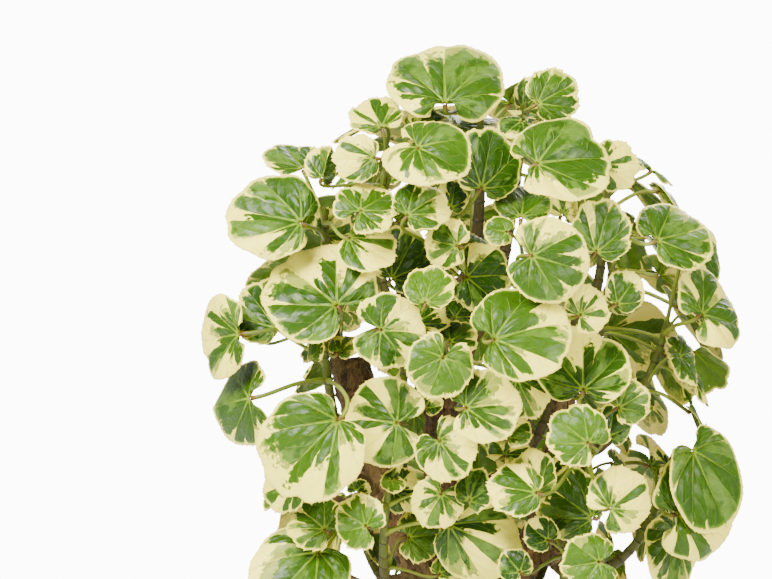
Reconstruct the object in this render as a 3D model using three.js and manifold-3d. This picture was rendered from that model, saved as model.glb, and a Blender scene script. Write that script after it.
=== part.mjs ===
// Potted variegated aralia: a bushy house plant with round, toothed, cream-edged leaves.
// Millimetres, +Z up. The origin is the centre of the pot's flat underside.
// The plant faces -Y. Leaves on that side were placed by eye from one picture of the plant, and
// the others are placed by a seeded rule on the same rounded crown. Every leaf is tried against
// those already there, and it slides until it is clear of them.
import * as THREE from 'three';
import Module from 'manifold-3d';

const wasm = await Module();
wasm.setup();

// Driving dimensions of the pot and the soil
const POT_HEIGHT = 168;
const POT_TOP_RADIUS = 94;
const POT_BASE_RADIUS = 69;
const POT_WALL = 3.2;
const POT_RIM_WIDTH = 5.5;
const POT_RIM_HEIGHT = 13;
const POT_SIDES = 32;
const DRAIN_RADIUS = 6;
const DRAIN_CIRCLE = 42;
const DRAIN_COUNT = 4;
const SOIL_LEVEL = 150;
const FIT_GAP = 0.35;
const TRUNK_DEPTH = 60;

// Picture the front leaves were placed by: its scale, and the view that it was taken from
const MM_PER_PIXEL = 0.7;
const PICTURE_CENTRE = [386, 289.5];
const PICTURE_CENTRE_X = -58.8;
const PICTURE_CENTRE_Z = 464.6;
const VIEW_DISTANCE = 2000;

// Rounded crown that the leaves cover
const CROWN_CENTRE_Z = 415;
const CROWN_SIDE = 196;
const CROWN_FRONT = 180;
const CROWN_UP = 222;
const CROWN_DOWN = 212;
const LAYER_STEP = 14;

// Leaf and stalk
const BLADE_THICKNESS = 0.9;
const STALK_RADIUS = 1.35;
const STALK_STEPS = 2;
const STALK_END_DEPTH = 0.9;
const STALK_SHORTEST = 20;
const STALK_FOR_RADIUS = 0.8;
const STALK_LONGEST = 100;
// Points on a blade's rim: up to 7 where its radius is under 20 mm, and so on
const RIM_POINTS = [[20, 7], [31, 9], [100, 11]];
const TOOTH_DEPTH = 0.07;
const BLADE_DROOP = -0.07;
const BLADE_WAVE = [0.03, 0.07];
// The joint's distance from the blade's centre as a share of its radius, at least and at most.
// The further off it is, the wider the notch between the blade's two ears.
const OFFSET_SHARES = [0.14, 0.72];
const WIDEST_SPREAD = 168;
const SPREAD_LOSS = 82;
const BLADE_CLEARANCE = 2.4;
const STALK_CLEARANCE = 1.4;
const RIM_SAMPLE_SPACING = 4.5;
const EDGE_SAMPLES = 5;
const EDGE_ROOM = 0.5;
const REACH_SPARE = 2;
const STEM_SAMPLE_SPACING = 4;
const STALK_ROOTS = [0.12, 0.25, 0.38, 0.5, 0.62, 0.74, 0.86, 0.97];
const LONGEST_MISS = 32;
const SLIDE_STEP = 4;
const SLIDE_COUNT = 22;

// Woody limbs, thick end first: [x, y, z, radius] along each
const LIMBS = [
  [[0, 0, SOIL_LEVEL - TRUNK_DEPTH, 18], [0, 0, 156, 18], [-4, -2, 195, 17], [-8, 0, 242, 16]],
  [[-8, 0, 240, 14], [-36, -8, 275, 14.5], [-57, -14, 322, 13], [-72, -16, 368, 14], [-84, -17, 416, 13]],
  [[-8, 1, 236, 13], [-12, 2, 300, 12.5], [-22, -3, 360, 11.5], [-9, -8, 420, 8], [2, -20, 486, 5]],
  [[-7, 0, 222, 11], [25, -2, 255, 12], [50, -4, 300, 11], [62, 0, 358, 9], [68, 2, 410, 6.5]],
  [[-6, 2, 226, 10], [-8, 32, 262, 11], [-15, 52, 320, 9], [-10, 55, 382, 7], [-4, 51, 432, 5.5]],
];

const LIMB_SIDES = 8;

// Leafy shoots: where the woody branch leaves its limb, where the green shoot sits on that
// branch's end, the point that pulls its curve, and its tip
const SHOOTS = [
  { wood: [-21, -4, 366], base: [-42, -40, 428], pull: [-52, -60, 480], tip: [-60, -72, 536] },
  { wood: [-58, -14, 326], base: [-90, -48, 350], pull: [-97, -68, 390], tip: [-102, -78, 438] },
  { wood: [-1, -17, 470], base: [4, -27, 502], pull: [8, -38, 545], tip: [5, -46, 592] },
  { wood: [-8, -8, 418], base: [22, -20, 482], pull: [31, -32, 530], tip: [36, -48, 585] },
  { wood: [62, 0, 358], base: [64, -34, 404], pull: [78, -60, 465], tip: [72, -76, 530] },
  { wood: [-22, -3, 356], base: [-26, -46, 392], pull: [-32, -78, 440], tip: [-26, -90, 492] },
  { wood: [47, -4, 296], base: [40, -44, 340], pull: [36, -76, 400], tip: [36, -92, 462] },
  { wood: [-40, -9, 282], base: [-47, -48, 328], pull: [-50, -80, 366], tip: [-46, -94, 412] },
  { wood: [-12, 2, 292], base: [-6, -44, 312], pull: [-6, -84, 345], tip: [-3, -96, 390] },
  { wood: [42, -3, 284], base: [60, -42, 288], pull: [68, -72, 316], tip: [76, -88, 354] },
  { wood: [-34, -8, 272], base: [-56, -42, 254], pull: [-64, -74, 278], tip: [-58, -88, 322] },
  { wood: [-34, -6, 272], base: [-80, -32, 256], pull: [-106, -54, 280], tip: [-118, -66, 322] },
  { wood: [-4, -2, 200], base: [50, -34, 224], pull: [60, -66, 248], tip: [62, -82, 288] },
  { wood: [-79, -16, 390], base: [-93, -34, 424], pull: [-98, -54, 465], tip: [-100, -68, 512] },
  { wood: [68, 2, 408], base: [82, 8, 434], pull: [96, 18, 480], tip: [98, 22, 534] },
  { wood: [61, 0, 352], base: [96, -10, 362], pull: [121, -20, 388], tip: [134, -26, 436] },
  { wood: [46, -3, 292], base: [86, -4, 266], pull: [115, -14, 276], tip: [130, -20, 318] },
  { wood: [-11, 55, 372], base: [-46, 50, 424], pull: [-66, 62, 475], tip: [-72, 74, 530] },
  { wood: [-4, 51, 428], base: [1, 53, 458], pull: [7, 64, 505], tip: [4, 74, 560] },
  { wood: [-14, 50, 312], base: [44, 52, 350], pull: [72, 74, 390], tip: [80, 90, 450] },
  { wood: [-14, 50, 312], base: [-62, 52, 338], pull: [-84, 72, 372], tip: [-92, 84, 426] },
  { wood: [-13, 54, 345], base: [-9, 82, 354], pull: [-6, 98, 378], tip: [-4, 106, 420] },
  { wood: [-8, 32, 262], base: [-48, 50, 244], pull: [-72, 74, 258], tip: [-80, 84, 302] },
  { wood: [-8, 32, 262], base: [42, 54, 244], pull: [60, 82, 258], tip: [66, 96, 304] },
  { wood: [-58, -14, 318], base: [-98, -2, 318], pull: [-124, 4, 330], tip: [-134, 6, 368] },
  { wood: [-30, -6, 268], base: [-88, 10, 262], pull: [-112, 16, 276], tip: [-122, 20, 314] },
  { wood: [66, 1, 394], base: [80, 36, 404], pull: [98, 54, 430], tip: [104, 62, 480] },
];
const SHOOT_BASE_RADIUS = 4.2;
const SHOOT_TIP_RADIUS = 2.4;
const SHOOT_SIDES = 5;
const BRANCH_RADII = [6, 5.2, 4.7, 4.5];
const BRANCH_SIDES = 5;

// Leaves of the side that faces the viewer, nearest layer first. Each row is the stalk's joint
// and the blade's centre in the picture, the blade's diameter there, how far the blade is turned
// to the right and up in degrees, its layer, its fold in degrees and the number of its shoot.
const FRONT_LEAVES = [
  [445, 104, 446, 80, 122, 0, 44, 0, 6, 3],
  [418, 149, 427, 153, 90, 0, 42, 0, 6, 1],
  [537, 164, 562, 160, 106, 8, 32, 0, 8, 5],
  [301, 223, 272, 216, 98, -8, 25, 0, 8, 14],
  [443, 358, 440, 365, 68, 0, 5, 0, 4, 8],
  [338, 420, 311, 448, 114, -10, 10, 0, 8, 2],
  [425, 303, 430, 286, 52, 0, 28, 0, 4, 6],
  [532, 256, 548, 260, 88, 10, 8, 0, 6, 7],
  [588, 443, 578, 435, 64, -5, 8, 0, 4, 10],
  [366, 526, 360, 522, 57, -25, 5, 0, 4, 11],
  [610, 508, 620, 500, 68, 10, 5, 0, 4, 10],
  [599, 562, 590, 563, 60, 5, 5, 0, 4, 13],
  [318, 553, 300, 572, 104, -5, 32, 0, 6, 12],
  [537, 104, 557, 92, 58, 15, 15, 0, 6, 4],
  [303, 169, 294, 157, 66, 0, 55, 0, 8, 14],
  [375, 158, 357, 158, 50, -5, 8, 0, 4, 1],
  [382, 128, 374, 111, 56, -5, 44, 0, 6, 1],
  [240, 334, 219, 338, 88, -52, 5, 0, 8, 2],
  [381, 330, 388, 331, 78, 12, 5, 1, 8, 8],
  [494, 340, 521, 334, 106, 5, 25, 1, 8, 7],
  [407, 216, 422, 205, 60, 5, 28, 1, 6, 6],
  [361, 211, 366, 207, 66, 0, 40, 1, 6, 1],
  [596, 252, 603, 230, 66, 18, 8, 1, 8, 5],
  [322, 178, 327, 162, 42, 30, 10, 1, -28, 1],
  [523, 107, 524, 91, 36, -28, 10, 1, -28, 4],
  [414, 131, 433, 122, 50, 5, 40, 1, 6, 1],
  [457, 128, 487, 119, 62, 10, 66, 1, 6, 3],
  [537, 493, 510, 488, 58, 0, 20, 1, 6, 10],
  [250, 398, 230, 403, 96, -52, 5, 1, -24, 2],
  [580, 315, 588, 309, 50, 20, 5, 1, 6, 7],
  [337, 306, 319, 290, 120, -12, 28, 2, 6, 2],
  [457, 246, 447, 243, 52, -30, 5, 2, 6, 6],
  [481, 188, 488, 163, 76, 22, 5, 2, 8, 3],
  [466, 408, 484, 406, 78, 8, 14, 2, 6, 9],
  [583, 390, 584, 367, 100, 5, 34, 2, 8, 7],
  [600, 166, 615, 165, 54, 15, 5, 2, 6, 5],
  [507, 232, 500, 231, 32, 0, 20, 2, 4, 3],
  [593, 518, 570, 503, 76, -20, 5, 2, 8, 10],
  [537, 491, 534, 469, 50, 0, 8, 2, -22, 10],
  [618, 408, 630, 402, 46, 15, 5, 2, 6, 10],
  [522, 122, 514, 127, 34, 0, 48, 2, 4, 4],
  [296, 480, 284, 485, 58, -28, 5, 2, 6, 12],
  [325, 530, 316, 523, 62, -10, 35, 2, 6, 12],
  [617, 304, 632, 281, 44, 20, 5, 2, 6, 5],
  [325, 236, 333, 225, 40, 5, 5, 3, 4, 14],
  [349, 238, 368, 248, 60, 0, 35, 3, 6, 14],
  [277, 328, 258, 306, 68, -18, 12, 3, 6, 2],
  [440, 441, 446, 449, 66, -22, 5, 3, 6, 9],
  [466, 277, 481, 277, 70, 20, 5, 3, 6, 6],
  [562, 215, 566, 200, 48, 35, 5, 3, 6, 5],
  [521, 218, 524, 203, 60, 0, 42, 3, 6, 4],
  [470, 500, 474, 490, 46, -38, 5, 3, 6, 9],
  [508, 438, 515, 432, 36, 0, 32, 3, 6, 9],
  [608, 436, 611, 425, 44, 10, 5, 3, 6, 10],
  [311, 358, 311, 349, 30, -52, 5, 3, -20, 2],
  [548, 540, 541, 534, 36, -10, 5, 3, 6, 13],
  [520, 572, 515, 566, 36, -10, 5, 3, 6, 13],
  [450, 208, 453, 196, 36, 30, 5, 3, 6, 3],
  [441, 494, 437, 502, 54, -8, 5, 4, 6, 11],
  [397, 423, 385, 422, 92, -22, 5, 4, 6, 8],
  [391, 279, 404, 257, 68, 22, 5, 4, 6, 6],
  [516, 378, 528, 399, 52, 12, 5, 4, 6, 7],
  [338, 352, 344, 346, 32, 0, 40, 4, 4, 2],
  [425, 408, 429, 401, 30, 10, 10, 4, 4, 8],
  [415, 325, 425, 318, 50, 0, 42, 4, 6, 6],
  [450, 342, 458, 337, 42, 0, 38, 4, 6, 9],
  [455, 318, 460, 312, 36, 0, 40, 4, 6, 7],
  [463, 246, 475, 243, 36, 10, 58, 4, 4, 3],
  [505, 455, 509, 449, 44, 0, 30, 4, 6, 9],
  [565, 470, 561, 465, 28, -10, 10, 4, 4, 10],
  [262, 337, 260, 326, 40, -10, 45, 4, 4, 2],
  [356, 492, 359, 489, 24, 0, 38, 4, 4, 11],
  [393, 490, 401, 490, 48, 22, 5, 5, 6, 11],
  [449, 525, 490, 543, 92, 5, 10, 4, -24, 11],
  [408, 537, 419, 537, 54, 30, 5, 5, 6, 11],
  [440, 574, 446, 570, 30, 0, 20, 5, 4, 13],
];

// Leaves that the seeded rule adds after a young leaf at each shoot's tip: how many, how small
// and large, and how deep in the crown
const SEED = 20417;
const TIP_ATTEMPTS = 24;
const RULE_LEAVES = 98;
const RULE_ATTEMPTS = 6000;
const RULE_SMALLEST = 13;
const RULE_LARGEST = 41;
const RULE_OUTSIDE = 0.97;
const RULE_DEPTH = 0.4;
// Part of the crown that the table above covers: the rule leaves its front free
const TABLE_RIGHT_X = 105;
const TABLE_LOWEST_Z = 262;
const TABLE_BACK_Y = -8;
// Gap at the crown's left side that stays open from front to back
const GAP_X = [-152, -124];
const GAP_Z = [394, 428];
// Past this cosine of its heading a leaf is on the left side, where the rule places it deeper
const LEFT_SIDE = -0.85;
const LEFT_INSET = 0.7;
const CROWN_OUTLINE = 0.98;

const vector = ([x, y, z]) => new THREE.Vector3(x, y, z);
const radians = THREE.MathUtils.degToRad;

// One stream of seeded random numbers from 0 to 1, drawn in a fixed order
let randomState = SEED;
function random() {
  randomState = (randomState * 1664525 + 1013904223) % 4294967296;
  return randomState / 4294967296;
}

const between = (low, high) => low + (high - low) * random();

// A quadratic curve at t, from the base past the pull to the tip
function alongShoot(shoot, t) {
  const point = vector(shoot.base).multiplyScalar((1 - t) * (1 - t));
  point.addScaledVector(vector(shoot.pull), 2 * t * (1 - t));
  return point.addScaledVector(vector(shoot.tip), t * t);
}

// Distance from the stalk's joint to the rim at an angle from the midrib: the rim is a circle
// whose centre lies off the joint along the midrib
function rimReach(leaf, angle) {
  const across = leaf.offset * Math.sin(angle);
  return leaf.offset * Math.cos(angle) + Math.sqrt(leaf.radius * leaf.radius - across * across);
}

// Rise of the blade for each millimetre from the joint: fold, droop and a slow wave
function rise(leaf, angle) {
  const wave = leaf.wave * Math.cos(3 * angle + leaf.phase);
  return Math.abs(Math.sin(angle)) * leaf.foldSin + leaf.droop + wave;
}

function bladePoint(leaf, angle, reach, lift = 0) {
  const point = leaf.joint.clone();
  point.addScaledVector(leaf.along, reach * Math.cos(angle));
  point.addScaledVector(leaf.across, reach * Math.sin(angle) * leaf.foldCos);
  return point.addScaledVector(leaf.normal, reach * rise(leaf, angle) + lift);
}

// A leaf from its joint, the way that it faces, the way of its midrib and its sizes
function makeLeaf(joint, normal, midrib, radius, offset, fold) {
  const along = midrib.clone().addScaledVector(normal, -midrib.dot(normal)).normalize();
  const share = THREE.MathUtils.clamp(offset / radius, ...OFFSET_SHARES);
  return {
    joint, normal, along, radius,
    across: new THREE.Vector3().crossVectors(normal, along),
    offset: share * radius,
    spread: radians(WIDEST_SPREAD - SPREAD_LOSS * share ** 1.6),
    foldSin: Math.sin(radians(fold)),
    foldCos: Math.cos(radians(fold)),
    droop: BLADE_DROOP,
  };
}

// The stalk is a cubic curve that leaves the shoot upwards and comes to the blade from behind
function makeStalk(leaf, root) {
  const end = leaf.joint.clone().addScaledVector(leaf.normal, -STALK_END_DEPTH);
  const away = end.clone().sub(root);
  const length = away.length();
  const start = away.clone().normalize().add(new THREE.Vector3(0, 0, 0.35)).normalize();
  const arrival = leaf.along.clone().multiplyScalar(0.8).addScaledVector(leaf.normal, 0.45).normalize();
  return new THREE.CubicBezierCurve3(
    root, root.clone().addScaledVector(start, 0.4 * length),
    end.clone().addScaledVector(arrival, -0.3 * length), end,
  );
}

// Points with a radius along a curve, every few millimetres
function samplesAlong(curvePoint, length, spacing, startRadius, endRadius) {
  const count = Math.max(2, Math.ceil(length / spacing));
  return Array.from({ length: count + 1 }, (_, i) => {
    const t = i / count;
    return { at: curvePoint(t), radius: startRadius + (endRadius - startRadius) * t };
  });
}

function bladeSamples(leaf) {
  const rimLength = 2 * leaf.spread * (leaf.radius + 0.3 * leaf.offset);
  const count = Math.ceil(rimLength / RIM_SAMPLE_SPACING);
  const samples = [];
  for (let i = 0; i <= count; i += 1) {
    const angle = leaf.spread * (2 * i / count - 1);
    samples.push({ at: bladePoint(leaf, angle, rimReach(leaf, angle)), radius: EDGE_ROOM });
  }
  for (const side of [-1, 1]) {
    for (let i = 0; i <= EDGE_SAMPLES; i += 1) {
      const reach = rimReach(leaf, leaf.spread) * i / EDGE_SAMPLES;
      samples.push({ at: bladePoint(leaf, side * leaf.spread, reach), radius: EDGE_ROOM });
    }
  }
  return samples;
}

// True where a sample comes too near to a leaf's blade
function touchesBlade(leaf, sample, clearance) {
  const apart = sample.at.clone().sub(leaf.joint);
  const room = sample.radius + clearance;
  if (apart.length() > leaf.radius + leaf.offset + room + REACH_SPARE) return false;
  const alongRib = apart.dot(leaf.along);
  const acrossRib = apart.dot(leaf.across) / leaf.foldCos;
  const angle = Math.atan2(acrossRib, alongRib);
  const reach = Math.hypot(alongRib, acrossRib);
  const rim = rimReach(leaf, Math.min(Math.abs(angle), leaf.spread));
  if (reach > rim + room) return false;
  return Math.abs(apart.dot(leaf.normal) - reach * rise(leaf, angle)) < room;
}

const stems = [];
function addStem(shoot, samples) {
  for (const sample of samples) stems.push({ ...sample, shoot });
}

const leaves = [];

function bladeIsClear(leaf) {
  if (stems.some((stem) => touchesBlade(leaf, stem, STALK_CLEARANCE))) return false;
  for (const other of leaves) {
    const span = leaf.radius + leaf.offset + other.radius + other.offset + STALK_LONGEST;
    if (leaf.joint.distanceTo(other.joint) > span) continue;
    if (other.samples.some((sample) => touchesBlade(leaf, sample, BLADE_CLEARANCE))) return false;
    if (other.stalkSamples.some((sample) => touchesBlade(leaf, sample, STALK_CLEARANCE))) return false;
    if (leaf.samples.some((sample) => touchesBlade(other, sample, BLADE_CLEARANCE))) return false;
  }
  return true;
}

function tooNear(a, b) {
  return a.at.distanceTo(b.at) < a.radius + b.radius + STALK_CLEARANCE;
}

function stalkIsClear(leaf, stalkSamples) {
  const foreignStems = stems.filter((stem) => stem.shoot !== leaf.shoot);
  if (stalkSamples.some((sample) => foreignStems.some((stem) => tooNear(sample, stem)))) return false;
  for (const other of leaves) {
    if (stalkSamples.some((sample) => touchesBlade(other, sample, STALK_CLEARANCE))) return false;
    if (other.shoot === leaf.shoot) continue;
    if (stalkSamples.some((a) => other.stalkSamples.some((b) => tooNear(a, b)))) return false;
  }
  return true;
}

// How far a stalk from this place on a shoot is from the length that suits the leaf
function stalkMiss(leaf, root) {
  return Math.abs(root.distanceTo(leaf.joint) - (STALK_SHORTEST + STALK_FOR_RADIUS * leaf.radius));
}

// Places on the shoot where a stalk may start, the one with the best length first
function rootsFor(shoot, leaf, lowest) {
  const places = STALK_ROOTS.filter((t) => t >= lowest).map((t) => alongShoot(shoot, t));
  const roots = places.map((at) => ({ at, miss: stalkMiss(leaf, at) }));
  return roots.filter((root) => root.miss < LONGEST_MISS).sort((a, b) => a.miss - b.miss);
}

function nearestShoots(leaf) {
  const choices = SHOOTS.map((shoot) => {
    const misses = STALK_ROOTS.map((t) => stalkMiss(leaf, alongShoot(shoot, t)));
    return { shoot, miss: Math.min(...misses) };
  });
  return choices.sort((a, b) => a.miss - b.miss).map((choice) => choice.shoot);
}

// Adds the leaf to the shoot if its blade is clear and one of the roots gives it a clear stalk
function settleOn(leaf, shoot, lowest) {
  leaf.shoot = SHOOTS.indexOf(shoot);
  leaf.samples = bladeSamples(leaf);
  if (!bladeIsClear(leaf)) return false;
  for (const root of rootsFor(shoot, leaf, lowest)) {
    const stalk = makeStalk(leaf, root.at);
    const length = root.at.distanceTo(leaf.joint);
    const curve = (t) => stalk.getPoint(t);
    const stalkSamples = samplesAlong(curve, length, STEM_SAMPLE_SPACING, STALK_RADIUS, STALK_RADIUS);
    if (!stalkIsClear(leaf, stalkSamples)) continue;
    leaf.stalk = stalk;
    leaf.stalkSamples = stalkSamples;
    leaves.push(leaf);
    return true;
  }
  return false;
}

function picturePoint(px, py, depth) {
  const scale = MM_PER_PIXEL * (VIEW_DISTANCE + depth) / VIEW_DISTANCE;
  const x = PICTURE_CENTRE_X + (px - PICTURE_CENTRE[0]) * scale;
  return new THREE.Vector3(x, depth, PICTURE_CENTRE_Z - (py - PICTURE_CENTRE[1]) * scale);
}

function crownFront(point) {
  const above = point.z - CROWN_CENTRE_Z;
  const share = (point.x / CROWN_SIDE) ** 2 + (above / (above > 0 ? CROWN_UP : CROWN_DOWN)) ** 2;
  return -CROWN_FRONT * Math.sqrt(Math.max(0.03, 1 - share));
}

function placeFrontLeaf(row, index) {
  const [jointX, jointY, centreX, centreY, diameter, turn, tilt, layer, fold, number] = row;
  const wave = between(...BLADE_WAVE);
  const phase = between(0, 2 * Math.PI);
  const front = crownFront(picturePoint(centreX, centreY, -0.6 * CROWN_FRONT));
  const normal = new THREE.Vector3(
    Math.sin(radians(turn)) * Math.cos(radians(tilt)),
    -Math.cos(radians(turn)) * Math.cos(radians(tilt)),
    Math.sin(radians(tilt)),
  );
  for (let slide = 0; slide < SLIDE_COUNT; slide += 1) {
    const depth = front + layer * LAYER_STEP + slide * SLIDE_STEP;
    const scale = MM_PER_PIXEL * (VIEW_DISTANCE + depth) / VIEW_DISTANCE;
    const joint = picturePoint(jointX, jointY, depth);
    const midrib = picturePoint(centreX, centreY, depth).sub(joint);
    midrib.y = -(midrib.x * normal.x + midrib.z * normal.z) / normal.y;
    const leaf = makeLeaf(joint, normal, midrib, scale * diameter / 2, midrib.length(), fold);
    Object.assign(leaf, { wave, phase });
    const shoots = [SHOOTS[number - 1], ...nearestShoots(leaf).slice(0, 3)];
    if (shoots.some((shoot) => settleOn(leaf, shoot, 0.1))) return;
  }
  console.error(`front leaf ${index} found no place`, row.join(' '));
}

// A young leaf at a shoot's tip
function placeTipLeaf(shoot) {
  const wave = between(...BLADE_WAVE);
  const phase = between(0, 2 * Math.PI);
  for (let attempt = 0; attempt < TIP_ATTEMPTS; attempt += 1) {
    const heading = between(0, 2 * Math.PI);
    const radius = between(8, 13);
    const outward = new THREE.Vector3(Math.cos(heading), Math.sin(heading), 0);
    const joint = vector(shoot.tip).addScaledVector(outward, between(10, 18));
    joint.z += between(4, 20);
    const normal = outward.clone().multiplyScalar(0.7).add(new THREE.Vector3(0, 0, 0.8)).normalize();
    const leaf = makeLeaf(joint, normal, outward, radius, 0.5 * radius, 10);
    Object.assign(leaf, { wave, phase });
    if (settleOn(leaf, shoot, 0.9)) return;
  }
}

// One try of the seeded rule: a blade on the crown's shell that faces outwards and a little up.
// The rule starts with large blades on the outside and goes on to small ones that fill it inside.
function placeRuleLeaf(progress) {
  const height = between(-0.97, 0.96);
  const heading = between(-Math.PI, Math.PI);
  const shell = between(RULE_OUTSIDE - RULE_DEPTH * progress, RULE_OUTSIDE);
  const usual = RULE_LARGEST + (RULE_SMALLEST - RULE_LARGEST) * progress ** 0.75;
  const radius = usual * between(0.82, 1.12);
  const offset = between(0.2, 0.6) * radius;
  const sway = between(-0.9, 0.9);
  const hang = between(-0.9, 0.5);
  const jitter = new THREE.Vector3(between(-0.3, 0.3), between(-0.3, 0.3), between(-0.2, 0.3));
  const wave = between(...BLADE_WAVE);
  const phase = between(0, 2 * Math.PI);
  const fold = between(2, 12);
  const level = Math.sqrt(1 - height * height);
  const out = new THREE.Vector3(level * Math.cos(heading), level * Math.sin(heading), height);
  const inset = Math.cos(heading) < LEFT_SIDE ? LEFT_INSET * shell : shell;
  const centre = new THREE.Vector3(
    CROWN_SIDE * out.x * inset,
    CROWN_FRONT * out.y * inset,
    CROWN_CENTRE_Z + (height > 0 ? CROWN_UP : CROWN_DOWN) * height * shell,
  );
  const nearTable = centre.x - radius < TABLE_RIGHT_X && centre.z + radius > TABLE_LOWEST_Z;
  if (nearTable && centre.y - 0.6 * radius < TABLE_BACK_Y) return false;
  const forward = 0.5 * Math.max(0, 0.6 - out.y);
  const normal = new THREE.Vector3(0.9 * out.x, 0.9 * out.y - forward, 0.45 * height + 0.42);
  normal.add(jitter).normalize();
  const wide = radius * Math.sqrt(1 - normal.x * normal.x);
  const inGapX = centre.x + wide > GAP_X[0] && centre.x - wide < GAP_X[1];
  if (inGapX && centre.z + radius > GAP_Z[0] && centre.z - radius < GAP_Z[1]) return false;
  const reachX = (Math.abs(centre.x) + 0.8 * wide) / CROWN_SIDE;
  const reachZ = (centre.z - CROWN_CENTRE_Z + 0.5 * radius) / CROWN_UP;
  if (centre.z > CROWN_CENTRE_Z && reachX * reachX + reachZ * reachZ > CROWN_OUTLINE) return false;
  const midrib = out.clone().multiplyScalar(0.5);
  midrib.add(new THREE.Vector3(-sway * Math.sin(heading), sway * Math.cos(heading), hang));
  const rib = midrib.addScaledVector(normal, -midrib.dot(normal)).normalize();
  const joint = centre.clone().addScaledVector(rib, -offset);
  const leaf = makeLeaf(joint, normal, rib, radius, offset, fold);
  Object.assign(leaf, { wave, phase });
  return nearestShoots(leaf).slice(0, 4).some((shoot) => settleOn(leaf, shoot, 0.1));
}

// Solids

function solid(vertices, triangles) {
  const mesh = new wasm.Mesh({
    numProp: 3,
    vertProperties: new Float32Array(vertices),
    triVerts: new Uint32Array(triangles),
  });
  return new wasm.Manifold(mesh);
}

// Sections of a tube through the points, last first: the first corner of the last section points
// along `up`, and the sections before it are carried back without twist
function tubeSections(points, radii, sides, up) {
  const last = points.length - 1;
  const directions = points.map((point, i) => {
    const into = point.clone().sub(points[Math.max(0, i - 1)]).normalize();
    const out = points[Math.min(last, i + 1)].clone().sub(point).normalize();
    if (i === 0) return out;
    return i === last ? into : into.add(out).normalize();
  });
  const sections = [];
  let top = up.clone();
  for (let i = last; i >= 0; i -= 1) {
    top = top.addScaledVector(directions[i], -top.dot(directions[i])).normalize();
    const side = new THREE.Vector3().crossVectors(directions[i], top);
    sections.push(Array.from({ length: sides }, (_, k) => {
      const angle = 2 * Math.PI * k / sides;
      const corner = points[i].clone().addScaledVector(top, radii[i] * Math.cos(angle));
      return corner.addScaledVector(side, radii[i] * Math.sin(angle));
    }));
  }
  return sections;
}

// Triangles between each section of `sides` vertices and the next one
function wallTriangles(sectionStarts, sides) {
  const triangles = [];
  for (let i = 1; i < sectionStarts.length; i += 1) {
    for (let k = 0; k < sides; k += 1) {
      const next = (k + 1) % sides;
      const [a, b] = [sectionStarts[i - 1] + k, sectionStarts[i - 1] + next];
      const [c, d] = [sectionStarts[i] + k, sectionStarts[i] + next];
      triangles.push(a, d, b, a, c, d);
    }
  }
  return triangles;
}

// A tube with flat ends
function tube(points, radii, sides, up) {
  const sections = tubeSections(points, radii, sides, up);
  const vertices = sections.flat().flatMap((corner) => corner.toArray());
  const last = (sections.length - 1) * sides;
  const triangles = wallTriangles(sections.map((_, i) => i * sides), sides);
  for (let k = 1; k < sides - 1; k += 1) {
    triangles.push(0, k, k + 1);
    triangles.push(last, last + k + 1, last + k);
  }
  return solid(vertices, triangles);
}

// A leaf in one closed body. The blade's upper face is a fan of triangles from the stalk's joint
// to a toothed rim. Its lower face is split alike, and at the joint it is open to the stalk: the
// joint above and two corners below, left and right of the rib, are the stalk's last section.
function leafSolid(leaf) {
  const points = RIM_POINTS.find(([largest]) => leaf.radius < largest)[1];
  const rim = Array.from({ length: points }, (_, i) => {
    const angle = leaf.spread * (2 * i / (points - 1) - 1);
    return { angle, reach: rimReach(leaf, angle) * (i % 2 ? 1 - TOOTH_DEPTH : 1) };
  });
  const rimFace = (lift) => rim.map(({ angle, reach }) => bladePoint(leaf, angle, reach, lift));
  const half = BLADE_THICKNESS / 2;
  const upper = leaf.joint.clone().addScaledVector(leaf.normal, half);
  const corner = (side) => leaf.joint.clone().addScaledVector(leaf.normal, half - 1.5 * STALK_RADIUS)
    .addScaledVector(leaf.across, side * STALK_RADIUS * 0.87);
  const stalkPoints = leaf.stalk.getPoints(STALK_STEPS);
  const radii = stalkPoints.map(() => STALK_RADIUS);
  const stalkSections = tubeSections(stalkPoints, radii, 3, leaf.normal).slice(1);
  const corners = [upper, corner(-1), corner(1), ...stalkSections.flat()];
  const vertices = [...corners, ...rimFace(half), ...rimFace(-half)].flatMap((point) => point.toArray());
  const top = corners.length;
  const under = top + points;
  const middle = (points - 1) / 2;
  const triangles = wallTriangles([0, 3, 6], 3);
  triangles.push(6, 8, 7);
  for (let i = 0; i < points - 1; i += 1) {
    triangles.push(0, top + i, top + i + 1);
    triangles.push(i < middle ? 1 : 2, under + i + 1, under + i);
    triangles.push(top + i, under + i, under + i + 1, top + i, under + i + 1, top + i + 1);
  }
  triangles.push(1, 2, under + middle);
  triangles.push(0, 1, under, 0, under, top);
  triangles.push(0, under + points - 1, 2, 0, top + points - 1, under + points - 1);
  return solid(vertices, triangles);
}

function shootPath(shoot) {
  const base = vector(shoot.base);
  const start = vector(shoot.pull).sub(base).normalize();
  const points = [base.clone().addScaledVector(start, FIT_GAP), base.clone().addScaledVector(start, 8)];
  for (const t of [0.5, 1]) points.push(alongShoot(shoot, t));
  return points;
}

// The woody branch under a shoot curves out of its limb and ends square to the shoot
function branchPath(shoot) {
  const foot = vector(shoot.wood);
  const base = vector(shoot.base);
  const start = vector(shoot.pull).sub(base).normalize();
  const neck = base.clone().addScaledVector(start, -7);
  const bend = neck.clone().addScaledVector(start, -0.3 * foot.distanceTo(base));
  const curve = new THREE.QuadraticBezierCurve3(foot, bend, neck);
  return [foot, curve.getPoint(0.55), neck, base];
}

function limbPath(limb) {
  return limb.map(([x, y, z]) => new THREE.Vector3(x, y, z));
}

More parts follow.
